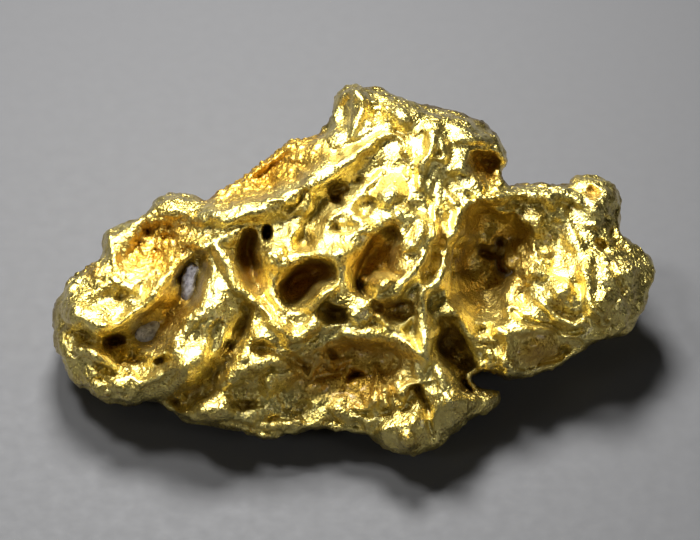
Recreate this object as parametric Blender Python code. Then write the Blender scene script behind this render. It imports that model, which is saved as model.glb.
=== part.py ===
"""Gold nugget, 20 mm long, with two grains of quartz held in its hollows.

The nugget lies on its worn underside. Its broad face leans back 45 degrees, and the forms on that
face are laid out on a flat map of it: u runs to the right, v up the face and w out of it, in mm.
The face map counts in steps of 1/30 mm, a to the right and b down, so that a form 30 steps long
is 1 mm long.

The body is worked out as a field, negative inside the metal and positive outside it: the front
and back skins over the outline, the underside, and lumps where the face doesn't show. Its zero
level is meshed, thinned to a few thousand triangles and cut flat where the nugget rests.
"""
import math

import bmesh
import bpy
import numpy as np

# ---- driving dimensions, mm -------------------------------------------------------------------
MAP_STEP = 1.0 / 30.0            # one step of the face map
MAP_CENTRE = (356.0, 270.0)      # the map's point at u = 0, v = 0
LEAN = math.radians(45.0)        # the face leans back by this from upright
LIFT = 3.3                       # height of the map's centre plane over the ground
FRONT_BULGE = 2.6                # how far the front skin can swell out of the outline's plane
DEEPEST = 0.5                    # hollows stop this share of the way from that plane to the back
MID_SLOPE = -0.4                 # the outline's plane falls back by this for each mm up the face
MID_DROP = -0.6
MID_DROOP = -0.3                 # and both ends droop by this
BACK_REACH_MAIN = 4.6            # how far the back swells behind the main mass
BACK_REACH_RIGHT = 1.6           # behind the thin right lobe
BACK_REACH_LEFT = 1.9            # behind the left lobe
BACK_FULLNESS = 1.35             # the back's section against the round one of the outline's width
EDGE_FADE = 0.32                 # forms die out over this width inside the outline
BLEND = 0.08                     # rounding where forms of one course meet
SOFTENING = 0.045                # the creases between forms are rounded over this
UNDERSIDE_HEIGHT = 0.42          # mean height of the underside over the ground
UNDERSIDE_BLEND = 0.5            # rounding between the underside and the flanks
REST_DEPTH = 1.0                 # how far each worn rest reaches below the mean underside
NOISE_REACH = 12.0               # the noises are laid out this far from the middle
WARP = [(1.1, 0.12), (0.5, 0.10), (0.25, 0.05)]      # wavelength and shift that bend the forms' edges
BELOW_GROUND = -0.35             # the lowest the underside goes before it is cut flat at z = 0
CELL = 0.15                      # size of the meshing cells
GOLD_TRIANGLES = 9000            # triangles left in the nugget after thinning
GRAIN_GAP = 0.1                  # clearance between a quartz grain and its socket
FLAT_SNAP = 0.004                # corners this near to the ground lie on it

# Worn patches that the nugget rests on: x, y and radius, mm.
RESTS = [(0.1, 0.0, 1.25), (1.6, -3.6, 1.0), (-4.6, -1.9, 1.0), (-2.6, 2.8, 1.1), (3.0, 2.5, 1.1)]

# Crooked hole through the floor of the right-hand socket: its middle lines on the face map.
HOLE_LINES = [[(498, 243), (497, 255), (500, 268)], [(484, 251), (497, 253)], [(500, 268), (512, 273)]]
HOLE_RADIUS = 0.2
HOLE_DEPTH = -0.9                # height w where it crosses its middle lines
HOLE_SLANT = 0.9                 # it runs this far to the right for each mm deeper
HOLE_BACK = ((526, 257), 0.95, 1.1)      # place, radius and depth of the hollow behind it

# Quartz grains: place on the face map, half-sizes along u, v and w, turn on the face in degrees,
# how far the middle sits below the gold's surface, number of corners.
GRAINS = {
    "quartz_grain_upper": ((190, 284), (0.36, 0.80, 0.44), -8.0, 0.02, 34),
    "quartz_grain_lower": ((153, 331), (0.58, 0.42, 0.42), 12.0, 0.14, 30),
}

# Closed outline of the broad face on the face map, clockwise from the left tip.
OUTLINE = [
    (55, 315), (57, 300), (60, 294), (67, 280), (75, 275), (84, 270), (91, 263), (98, 259),
    (101, 250), (101, 240), (103, 232), (110, 227), (120, 223), (132, 219), (146, 211), (152, 202),
    (160, 196), (172, 193), (184, 192), (196, 195), (205, 200), (213, 195), (222, 188), (238, 179),
    (252, 170), (268, 158), (280, 149), (289, 143), (300, 140), (310, 138), (319, 135), (325, 127),
    (330, 117), (333, 106), (333, 96), (338, 88), (346, 83), (355, 82), (366, 85), (380, 86),
    (395, 90), (410, 96), (425, 103), (438, 106), (451, 108), (466, 113), (480, 119), (492, 127),
    (502, 137), (508, 147), (511, 158), (510, 163), (505, 168), (503, 176), (506, 183), (514, 185),
    (530, 184), (545, 184), (560, 185), (571, 184), (575, 179), (581, 176), (590, 175), (602, 177),
    (613, 181), (620, 190), (623, 205), (623, 220), (623, 233), (631, 241), (641, 250), (652, 259),
    (657, 268), (655, 281), (650, 292), (645, 305), (638, 318), (632, 330), (625, 336), (610, 340),
    (595, 343), (573, 355), (557, 366), (541, 370), (524, 376), (506, 377), (494, 371), (484, 370),
    (474, 373), (470, 378), (478, 386), (492, 388), (498, 391), (500, 397), (497, 404), (487, 412),
    (471, 418), (462, 426), (450, 437), (439, 446), (428, 451), (415, 456), (397, 455), (382, 447),
    (370, 436), (350, 430), (330, 428), (312, 428), (290, 435), (268, 439), (252, 435), (234, 430),
    (214, 426), (190, 422), (179, 415), (170, 407), (156, 402), (134, 404), (118, 403), (105, 400),
    (89, 388), (78, 382), (67, 366), (60, 352), (56, 334),
]


def oval(name, rise, place, radii, turn=0.0, power=1.0, lean=(0.0, 0.0)):
    """An oval form: rise in mm (minus for a hollow), place on the map, radii in mm, turn in degrees.

    The lean makes it higher or deeper towards one side, along its two own axes.
    """
    return ("oval", rise, place, radii, turn, power, lean)


def stroke(name, rise, width, path, power=1.2):
    """A form along a path on the map, whose points may carry a scale: rise and half-width in mm."""
    return ("stroke", rise, width, path, power)


# Course 1: the broad swells and hollows.
BROAD = [
    oval("back terrace", -0.9, (270, 166), (2.4, 1.0), 27, 1.5),
    oval("basin", -1.1, (158, 250), (1.75, 1.15), 30, 1.2, (0.0, 0.3)),
    oval("left dish", -0.45, (108, 299), (0.9, 0.5), 10, 1.5),
    oval("left lobe crest", 0.45, (88, 305), (1.1, 0.75), -15, 1.5),
    oval("left under-cut", -0.75, (98, 343), (1.2, 0.42), -8, 1.2, (0.0, 0.4)),
    oval("saddle", 0.4, (222, 296), (1.3, 1.0), 40, 1.5),
    oval("lower left boss", 0.75, (190, 362), (1.05, 0.8), 55, 1.0),
    oval("lower left hollow", -0.75, (132, 362), (1.0, 0.55), 0, 1.0),
    oval("lower lump", 0.45, (216, 409), (0.85, 0.5), 5, 1.0),
    oval("slab over the pocket", 0.35, (358, 240), (1.2, 0.6), 25, 1.2),
    oval("big concavity", -1.15, (354, 374), (2.2, 1.15), 0, 0.9, (0.0, 0.5)),
    stroke("deep cleft", -1.9, 0.62, [(447, 322, 0.6), (452, 340), (459, 358), (469, 380, 0.9)], 0.7),
    oval("hood shoulder", 0.45, (437, 122), (2.4, 0.95), -22, 1.5),
    oval("right lobe set back", -0.85, (556, 262), (3.5, 2.7), 0, 0.6),
    oval("lower recess", -1.05, (318, 400), (3.5, 1.5), 4, 0.6, (0.0, 0.3)),
    oval("left recess", -0.2, (104, 374), (1.6, 1.1), 0, 0.8, (0.0, 0.3)),
    oval("socket", -1.5, (510, 264), (2.05, 2.1), 0, 0.7),
    oval("main swell", 0.8, (352, 262), (3.6, 2.5), 12, 1.0),
    oval("right mass", 0.7, (608, 282), (1.2, 1.35), 0, 0.8),
    oval("right knob", 0.4, (598, 204), (0.9, 1.1), 0, 1.2),
    oval("under the slab", -1.1, (545, 352), (1.45, 0.85), -12, 0.5),
    oval("behind the curls", -0.9, (484, 345), (0.75, 0.75), 0, 0.6),
    oval("amber block", 0.45, (538, 348), (0.75, 0.6), 10, 0.7),
    oval("front lobe", 0.45, (402, 428), (0.9, 0.85), 0, 1.2),
    oval("spike root", 0.35, (446, 396), (0.9, 0.75), 0, 1.2),
]

# Course 2: troughs, pockets and pits with steep walls.
HOLLOWS = [
    stroke("quartz trough", -1.4, 0.72, [
           (196, 262, 0.7), (186, 285), (172, 308), (150, 330), (122, 345, 0.7)], 0.9),
    stroke("long pit", -1.15, 0.42, [(252, 242, 0.8), (247, 258), (252, 271), (260, 284, 0.8)], 0.8),
    oval("black pit", -1.3, (268, 235), (0.15, 0.22), 0, 0.6),
    oval("pit beside it", -0.45, (254, 238), (0.25, 0.16), 0, 0.9),
    oval("round pocket", -1.5, (308, 286), (1.0, 0.75), 35, 0.7, (0.0, 0.75)),
    oval("small pocket", -0.8, (333, 317), (0.45, 0.42), 0, 0.8, (0.0, 0.6)),
    stroke("olive trough", -0.42, 0.42, [
           (392, 148, 0.7), (372, 162), (353, 177), (335, 192), (322, 208), (312, 228),
           (304, 247, 0.8)], 0.9),
    stroke("middle pocket", -1.35, 0.55, [(387, 240, 0.8), (378, 256), (366, 272), (363, 288, 0.8)], 0.6),
    oval("middle pocket floor", -1.2, (384, 264), (0.75, 0.6), 30, 0.7, (0.0, 0.5)),
    oval("olive hollow", -0.75, (429, 262), (0.33, 0.78), -14, 0.9),
    oval("bowl", -0.5, (396, 312), (0.6, 0.55), 0, 0.9, (0.0, 0.6)),
    oval("bowl's side pocket", -0.6, (377, 307), (0.3, 0.28), 0, 0.9, (0.0, 0.6)),
    oval("under the hood", -1.2, (484, 165), (0.64, 0.5), -10, 0.7, (0.0, 0.5)),
    stroke("hood funnel", -1.1, 0.36, [(484, 160), (490, 174), (491, 188, 0.6)], 0.7),
    oval("socket pocket", -0.9, (507, 243), (0.92, 1.0), 0, 0.45),
    stroke("socket floor", -1.5, 1.05, [
           (484, 222, 0.6), (478, 250, 0.8), (478, 282), (484, 312, 0.8)], 0.6),
    oval("crevice hole", -0.5, (214, 389), (0.3, 0.22), 0, 0.8),
    stroke("boss crevice", -0.95, 0.36, [
           (232, 345, 0.7), (222, 362), (210, 382), (195, 397), (176, 403, 0.6)], 0.9),
    stroke("crevice by the lip", -0.55, 0.25, [
           (254, 308, 0.6), (247, 325), (240, 340), (236, 352, 0.7)], 0.9),
    oval("dark pit", -0.7, (165, 356), (0.3, 0.18), 10, 0.7),
    oval("dark pit left", -0.5, (144, 356), (0.22, 0.13), 10, 0.8),
    stroke("under-lip line", -0.4, 0.22, [
           (256, 349), (270, 347), (284, 346), (296, 354), (306, 362, 0.6)], 0.9),
]

# Course 3: the rounded ridges and lips between the hollows.
RIDGES = [
    stroke("upper ridge", 0.75, 0.7, [
           (200, 221, 0.6), (215, 214, 0.8), (237, 214), (256, 209), (280, 201), (300, 190), (316, 178),
           (326, 166, 0.8)]),
    stroke("upper ridge branch", 0.45, 0.4, [
           (322, 176, 0.7), (338, 171), (356, 156), (376, 143, 0.8), (390, 139, 0.5)]),
    stroke("short spur", 0.5, 0.3, [(322, 172), (317, 187), (314, 204), (308, 215, 0.7)]),
    stroke("second ridge", 0.45, 0.36, [
           (200, 251), (206, 248), (214, 243, 0.7), (230, 239), (248, 232, 0.8)]),
    stroke("basin rim", 0.6, 0.24, [(144, 310, 0.8), (155, 299), (167, 283), (179, 269), (193, 257)]),
    stroke("basin top rim", 0.35, 0.2, [(130, 223, 0.7), (148, 215), (166, 204), (182, 202, 0.8)]),
    stroke("knob crest", 0.4, 0.16, [(109, 234, 1.3), (112, 249, 0.8), (116, 260), (121, 271, 0.8)]),
    stroke("left lip", 0.5, 0.48, [
           (66, 292, 0.7), (73, 302), (80, 315), (95, 322), (113, 331, 0.8), (130, 327, 0.7),
           (143, 312, 0.7)]),
    stroke("ledge", 0.45, 0.2, [(84, 350, 0.8), (97, 351), (110, 357), (119, 362, 0.9)]),
    stroke("hollow rib", 0.35, 0.12, [(131, 364), (138, 372), (146, 380)]),
    stroke("boss edge", 0.4, 0.28, [(198, 318, 0.8), (190, 328), (183, 338), (178, 350, 0.7)]),
    stroke("boss foot", 0.35, 0.22, [(149, 378, 0.7), (164, 370), (178, 362, 0.7)]),
    stroke("pit ridge", 0.45, 0.36, [(222, 248, 0.7), (230, 266), (240, 284), (251, 292), (259, 302)]),
    stroke("lip", 0.5, 0.34, [
           (266, 302, 0.8), (273, 317), (281, 325), (298, 332, 1.1), (311, 326, 0.9), (322, 317, 0.6)]),
    stroke("lip strut", 0.35, 0.17, [(276, 275, 0.7), (275, 290), (284, 306, 0.8)]),
    stroke("pocket brow", 0.35, 0.3, [
           (286, 272, 0.7), (296, 259), (315, 253), (331, 262), (340, 277, 0.7)]),
    stroke("knuckle left edge", 0.3, 0.2, [(260, 309), (252, 322), (248, 334, 0.7)]),
    stroke("pocket right wall", 0.45, 0.28, [
           (419, 222, 0.8), (411, 240), (400, 248), (397, 261), (403, 268, 0.7)]),
    stroke("pocket rim band", 0.45, 0.3, [
           (366, 279, 0.6), (371, 294), (386, 299), (400, 286), (412, 271), (421, 256, 0.8)]),
    stroke("short rib", 0.35, 0.14, [(426, 222), (432, 238, 0.8)]),
    stroke("divider", 0.6, 0.32, [
           (461, 214, 0.7), (459, 233), (450, 254), (441, 270), (436, 281), (427, 291), (424, 303),
           (421, 320, 1.1), (424, 340, 0.9), (427, 362, 0.6)]),
    stroke("bowl lip", 0.35, 0.13, [
           (377, 315, 0.7), (384, 326), (395, 331), (404, 325), (409, 316, 0.7)]),
    stroke("concavity brow", 0.4, 0.32, [
           (333, 347, 0.7), (348, 339), (366, 336), (391, 337), (406, 347), (419, 354, 0.7)]),
    stroke("flake", 0.4, 0.13, [
           (302, 366, 0.7), (310, 379, 0.9), (318, 356, 0.8), (328, 363), (334, 368), (345, 363, 0.6)]),
    stroke("bottom rim", 0.3, 0.3, [
           (262, 426, 0.6), (290, 424), (312, 422), (335, 412), (350, 414), (368, 420, 0.7)]),
    stroke("zigzag left", 0.55, 0.14, [(355, 400, 0.7), (368, 403), (374, 389), (378, 371, 0.5)]),
    stroke("zigzag right", 0.5, 0.13, [(396, 383, 0.8), (401, 394), (409, 382), (416, 379, 0.7)]),
    stroke("hood rim", 0.35, 0.32, [
           (455, 141, 0.7), (470, 136), (489, 136), (501, 146), (509, 159, 0.7)]),
    stroke("hood bar", 0.55, 0.22, [(432, 136), (430, 154), (424, 166), (421, 187, 0.8)]),
    stroke("second hood bar", 0.4, 0.18, [(441, 141), (445, 158)]),
    stroke("hood cross bar", 0.3, 0.13, [(424, 161), (446, 160)]),
    stroke("crown crest", 0.4, 0.26, [
           (340, 92, 0.8), (347, 88), (357, 90), (362, 98), (360, 109), (356, 121), (351, 132, 0.6)]),
    stroke("top bar", 0.7, 0.42, [(504, 195, 0.8), (520, 192), (540, 194), (556, 194), (574, 197, 0.8)]),
    stroke("knob bar", 0.35, 0.14, [(613, 182), (619, 190), (620, 200)]),
    stroke("face edge", 0.4, 0.16, [(581, 269, 0.7), (584, 284), (588, 300), (597, 314, 0.8)]),
    stroke("slab rim", 0.5, 0.2, [(542, 299, 0.7), (549, 311), (560, 318), (574, 325)]),
    stroke("slab crest", 0.35, 0.14, [(551, 277), (560, 282), (569, 288)]),
    stroke("curl", 0.25, 0.09, [(467, 329), (476, 338), (491, 340, 0.7)]),
    stroke("curl right", 0.25, 0.09, [(496, 329), (504, 336), (501, 347, 0.7)]),
    stroke("lower curl", 0.25, 0.12, [(487, 352), (492, 364), (503, 371), (526, 370, 0.7)]),
]

# Course 4: bosses and beads.
KNOBS = [
    oval("lobe top", 0.3, (77, 277), (0.35, 0.2), 10, 1.0),
    oval("amber bead", 0.3, (94, 269), (0.22, 0.2), 0, 0.8),
    oval("boss over the strut", 0.45, (276, 257), (0.42, 0.5), 0, 0.9),
    oval("knuckle", 0.4, (266, 331), (0.62, 0.52), 20, 0.9),
    oval("white boss", 0.6, (389, 192), (0.62, 0.58), 0, 0.9),
    oval("olive ball", 0.5, (402, 216), (0.5, 0.45), 0, 0.8),
    oval("boss by the pocket", 0.4, (335, 253), (0.5, 0.32), -25, 0.9),
    oval("pocket inner wall", 0.6, (319, 298), (0.62, 0.42), 25, 0.8),
    oval("tongue", 0.75, (382, 281), (0.52, 0.38), 35, 0.7),
    oval("flat flake", 0.4, (279, 377), (0.75, 0.4), 28, 0.6),
    oval("zigzag mass", 0.4, (388, 396), (0.3, 0.45), 0, 0.9),
    oval("socket lumps", 0.65, (535, 267), (0.62, 0.62), 0, 0.9),
    oval("socket lump top", 0.3, (545, 250), (0.22, 0.2), 0, 0.9),
    oval("slab", 0.5, (562, 294), (0.8, 0.5), -25, 0.9),
    oval("bar boss", 0.4, (548, 206), (0.25, 0.34), 0, 0.9),
    oval("cheek", 0.45, (462, 170), (0.5, 0.34), 10, 0.9),
    oval("cheek ball", 0.3, (481, 200), (0.2, 0.15), 0, 0.8),
    oval("cheek ball right", 0.25, (496, 190), (0.13, 0.13), 0, 0.8),
    oval("cheek facet", 0.3, (452, 203), (0.35, 0.2), -45, 0.9),
    oval("highlight boss", 0.25, (298, 232), (0.3, 0.2), 10, 0.9),
    oval("lower lump left", 0.3, (581, 322), (0.32, 0.17), 0, 0.9),
    oval("lower lump right", 0.25, (605, 322), (0.32, 0.15), 0, 0.9),
    oval("ring knob", 0.3, (228, 405), (0.32, 0.28), 0, 0.8),
    oval("rough knob", 0.3, (120, 383), (0.22, 0.22), 0, 0.9),
    oval("bowl shoulder", 0.35, (357, 316), (0.45, 0.4), 0, 1.0),
    oval("small bump a", 0.2, (399, 144), (0.15, 0.13), 0, 0.9),
    oval("small bump b", 0.2, (401, 154), (0.15, 0.13), 0, 0.9),
    oval("crown block", 0.25, (374, 97), (0.25, 0.15), -60, 0.9),
    oval("front knob", 0.3, (409, 443), (0.3, 0.35), 0, 0.8),
    oval("front ball", 0.3, (429, 446), (0.17, 0.14), 0, 0.8),
    oval("front top", 0.3, (412, 421), (0.14, 0.3), 0, 0.9),
]

# Course 5: small pits and grooves, cut last.
PITS = [
    oval("basin pit a", -0.3, (147, 236), (0.13, 0.2), 0, 0.8),
    oval("basin pit b", -0.3, (161, 227), (0.16, 0.2), 20, 0.8),
    oval("basin pit c", -0.25, (129, 242), (0.16, 0.1), 0, 0.8),
    oval("basin pit d", -0.25, (171, 231), (0.14, 0.1), 0, 0.8),
    oval("basin pit e", -0.35, (193, 213), (0.15, 0.17), 0, 0.8),
    oval("basin low hollow", -0.35, (147, 289), (0.4, 0.3), 40, 1.0),
    stroke("orange groove", -0.25, 0.14, [(85, 285), (93, 288), (103, 281)]),
    stroke("dark crevice", -0.35, 0.1, [(118, 302), (128, 299), (140, 298)]),
    oval("crown face", -0.35, (344, 114), (0.28, 0.5), 8, 1.0),
    oval("crown spot", -0.15, (340, 106), (0.14, 0.1), 0, 1.0),
    oval("bead pit", -0.4, (377, 115), (0.28, 0.29), 0, 0.7),
    oval("bead hollow", -0.25, (374, 128), (0.36, 0.2), 10, 0.9),
    stroke("arc line", -0.2, 0.09, [
           (333, 149), (345, 142), (359, 137), (378, 133), (398, 135), (405, 142)]),
    oval("pit by spur", -0.5, (338, 201), (0.24, 0.2), 0, 0.7),
    oval("pit low", -0.35, (337, 228), (0.16, 0.12), 0, 0.8),
    oval("pit high", -0.3, (363, 177), (0.14, 0.1), 30, 0.8),
    oval("pit mid", -0.4, (370, 200), (0.14, 0.28), 0, 0.8),
    oval("pit mid low", -0.35, (362, 214), (0.14, 0.12), 0, 0.8),
    stroke("spur groove", -0.3, 0.13, [(289, 209), (298, 203), (308, 193)]),
    stroke("amber groove", -0.45, 0.14, [(435, 212, 0.7), (440, 228), (443, 251, 0.8)]),
    stroke("dark line", -0.25, 0.09, [(437, 183), (434, 193), (430, 203)]),
    oval("knob pit", -0.45, (590, 192), (0.2, 0.22), 0, 0.7),
    oval("knob pit b", -0.3, (616, 209), (0.12, 0.14), 0, 0.8),
    oval("knob pit c", -0.3, (608, 216), (0.16, 0.1), 0, 0.8),
    oval("dark facet", -0.35, (604, 244), (0.25, 0.2), 30, 0.8),
    stroke("face groove", -0.25, 0.09, [(613, 267), (620, 278), (621, 291)]),
    stroke("slab under-line", -0.4, 0.13, [(516, 312), (530, 318), (545, 324), (560, 330), (575, 331)]),
    stroke("slit", -0.6, 0.1, [(352, 377), (364, 371)]),
    oval("flake pocket", -0.5, (328, 354), (0.28, 0.13), -38, 0.8),
    stroke("front groove", -0.5, 0.16, [(415, 385, 0.7), (422, 402), (427, 422), (427, 437, 0.7)]),
    oval("ring pit", -0.2, (228, 402), (0.1, 0.08), 0, 0.8),
    oval("hood pit", -0.2, (443, 129), (0.08, 0.08), 0, 0.8),
    stroke("facet", 0.25, 0.12, [(345, 206), (333, 219)]),
    oval("bead in pit", 0.3, (379, 113), (0.12, 0.12), 0, 0.6),
]

COURSES = (BROAD, HOLLOWS, RIDGES, KNOBS, PITS)

# ---- small helpers ----------------------------------------------------------------------------
def smooth_max(p, q, k):
    """The larger of two fields, rounded where they cross within k."""
    near = np.maximum(k - np.abs(p - q), 0.0) / k
    return np.maximum(p, q) + near * near * k * 0.25


def ease(x, low, high):
    """0 up to low, 1 from high on, smooth between."""
    t = np.clip((x - low) / (high - low), 0.0, 1.0)
    return t * t * (3.0 - 2.0 * t)


def limit(x, reach):
    """x while it is small, levelling off at reach."""
    return x / (1.0 + (x / reach) ** 3) ** (1.0 / 3.0)


def to_face(points):
    """Map steps to mm on the face: u to the right, v up. A third column stays as it is."""
    p = np.array(points, float)
    p[:, 0] = (p[:, 0] - MAP_CENTRE[0]) * MAP_STEP
    p[:, 1] = (MAP_CENTRE[1] - p[:, 1]) * MAP_STEP
    return p


def to_space(u, v, w):
    """Face coordinates to x, y and z: the face leans back, and its centre is LIFT over the ground."""
    return u, v * math.sin(LEAN) - w * math.cos(LEAN), v * math.cos(LEAN) + w * math.sin(LEAN) + LIFT


def spline(points, closed, pieces):
    """Catmull-Rom curve through the points, with so many pieces to each span."""
    p = np.array(points, float)
    if closed:
        p = np.vstack([p[-1:], p, p[:2]])
    else:
        p = np.vstack([2 * p[:1] - p[1:2], p, 2 * p[-1:] - p[-2:-1]])
    t = (np.arange(pieces) / pieces)[None, :, None]
    q0, q1, q2, q3 = (p[i:len(p) - 3 + i, None, :] for i in range(4))
    curve = 0.5 * (2 * q1 + (q2 - q0) * t + (2 * q0 - 5 * q1 + 4 * q2 - q3) * t ** 2
                   + (3 * q1 - q0 - 3 * q2 + q3) * t ** 3).reshape(-1, p.shape[1])
    return curve if closed else np.vstack([curve, p[-2:-1]])


def line_distance(u, v, line):
    """Distance from each point to a polyline, and how far along it (in points) the nearest spot is."""
    best = np.full(u.shape, 1e9)
    along = np.zeros(u.shape)
    for i in range(len(line) - 1):
        start = line[i, :2]
        du, dv = line[i + 1, :2] - start
        t = np.clip(((u - start[0]) * du + (v - start[1]) * dv) / (du * du + dv * dv + 1e-12), 0.0, 1.0)
        d = (u - start[0] - t * du) ** 2 + (v - start[1] - t * dv) ** 2
        closer = d < best
        best = np.where(closer, d, best)
        along = np.where(closer, i + t, along)
    return np.sqrt(best), along


def inside_loop(u, v, loop):
    """Even-odd test of the points against a closed polygon."""
    inside = np.zeros(u.shape, bool)
    for (pu, pv), (qu, qv) in zip(loop, np.vstack([loop[1:], loop[:1]])):
        if pv != qv:
            crosses = (pv > v) != (qv > v)
            inside ^= crosses & (u < (qu - pu) * (v - pv) / (qv - pv) + pu)
    return inside


def lattice_noise(rng, axes, wavelength):
    """Smooth noise over the product of the axes: random values on a coarse lattice, eased between."""
    half = math.ceil(NOISE_REACH / wavelength)
    field = rng.uniform(-1.0, 1.0, [2 * half + 1] * len(axes))
    for n, axis in enumerate(axes):
        place = axis / wavelength
        k = np.floor(place).astype(int) + half
        t = ease(place - np.floor(place), 0.0, 1.0)
        t = t.reshape([-1 if m == n else 1 for m in range(field.ndim)])
        field = np.take(field, k, axis=n) * (1 - t) + np.take(field, k + 1, axis=n) * t
    return field


def waves(seed, axes, sizes):
    """Sum of noises, each given as (wavelength, height) in mm."""
    rng = np.random.default_rng(seed)
    return sum(height * lattice_noise(rng, axes, wavelength) for wavelength, height in sizes)


def blur(field, sigma):
    """Gaussian blur of a map, sigma in cells."""
    reach = int(3 * sigma) + 1
    kernel = np.exp(-0.5 * (np.arange(-reach, reach + 1) / sigma) ** 2)
    kernel /= kernel.sum()
    for axis in (0, 1):
        padded = np.pad(field, [(reach, reach) if n == axis else (0, 0) for n in (0, 1)], mode="edge")
        size = field.shape[axis]
        field = sum(k * np.take(padded, range(i, i + size), axis=axis) for i, k in enumerate(kernel))
    return field


def sample(field, u_axis, v_axis, u, v):
    """Value of a map at any points, straight between its cells."""
    fu = np.clip((u - u_axis[0]) / (u_axis[1] - u_axis[0]), 0, len(u_axis) - 1.001)
    fv = np.clip((v - v_axis[0]) / (v_axis[1] - v_axis[0]), 0, len(v_axis) - 1.001)
    i, j = fu.astype(int), fv.astype(int)
    s, t = fu - i, fv - j
    return ((field[i, j] * (1 - s) + field[i + 1, j] * s) * (1 - t)
            + (field[i, j + 1] * (1 - s) + field[i + 1, j + 1] * s) * t)


def blown_membrane(inside, cell):
    """Height h of a membrane blown up over the inside cells, laplace(h) = -1, by conjugate gradients."""
    def stiffness(x):
        y = 4.0 * x
        y[1:] -= x[:-1]
        y[:-1] -= x[1:]
        y[:, 1:] -= x[:, :-1]
        y[:, :-1] -= x[:, 1:]
        return y * inside
    height = np.zeros(inside.shape)
    rest = inside * cell * cell
    path = rest.copy()
    error = first = (rest * rest).sum()
    while error > 1e-10 * first:
        pull = stiffness(path)
        step = error / (path * pull).sum()
        height += step * path
        rest = rest - step * pull
        error, last = (rest * rest).sum(), error
        path = rest + (error / last) * path
    return height


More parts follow.
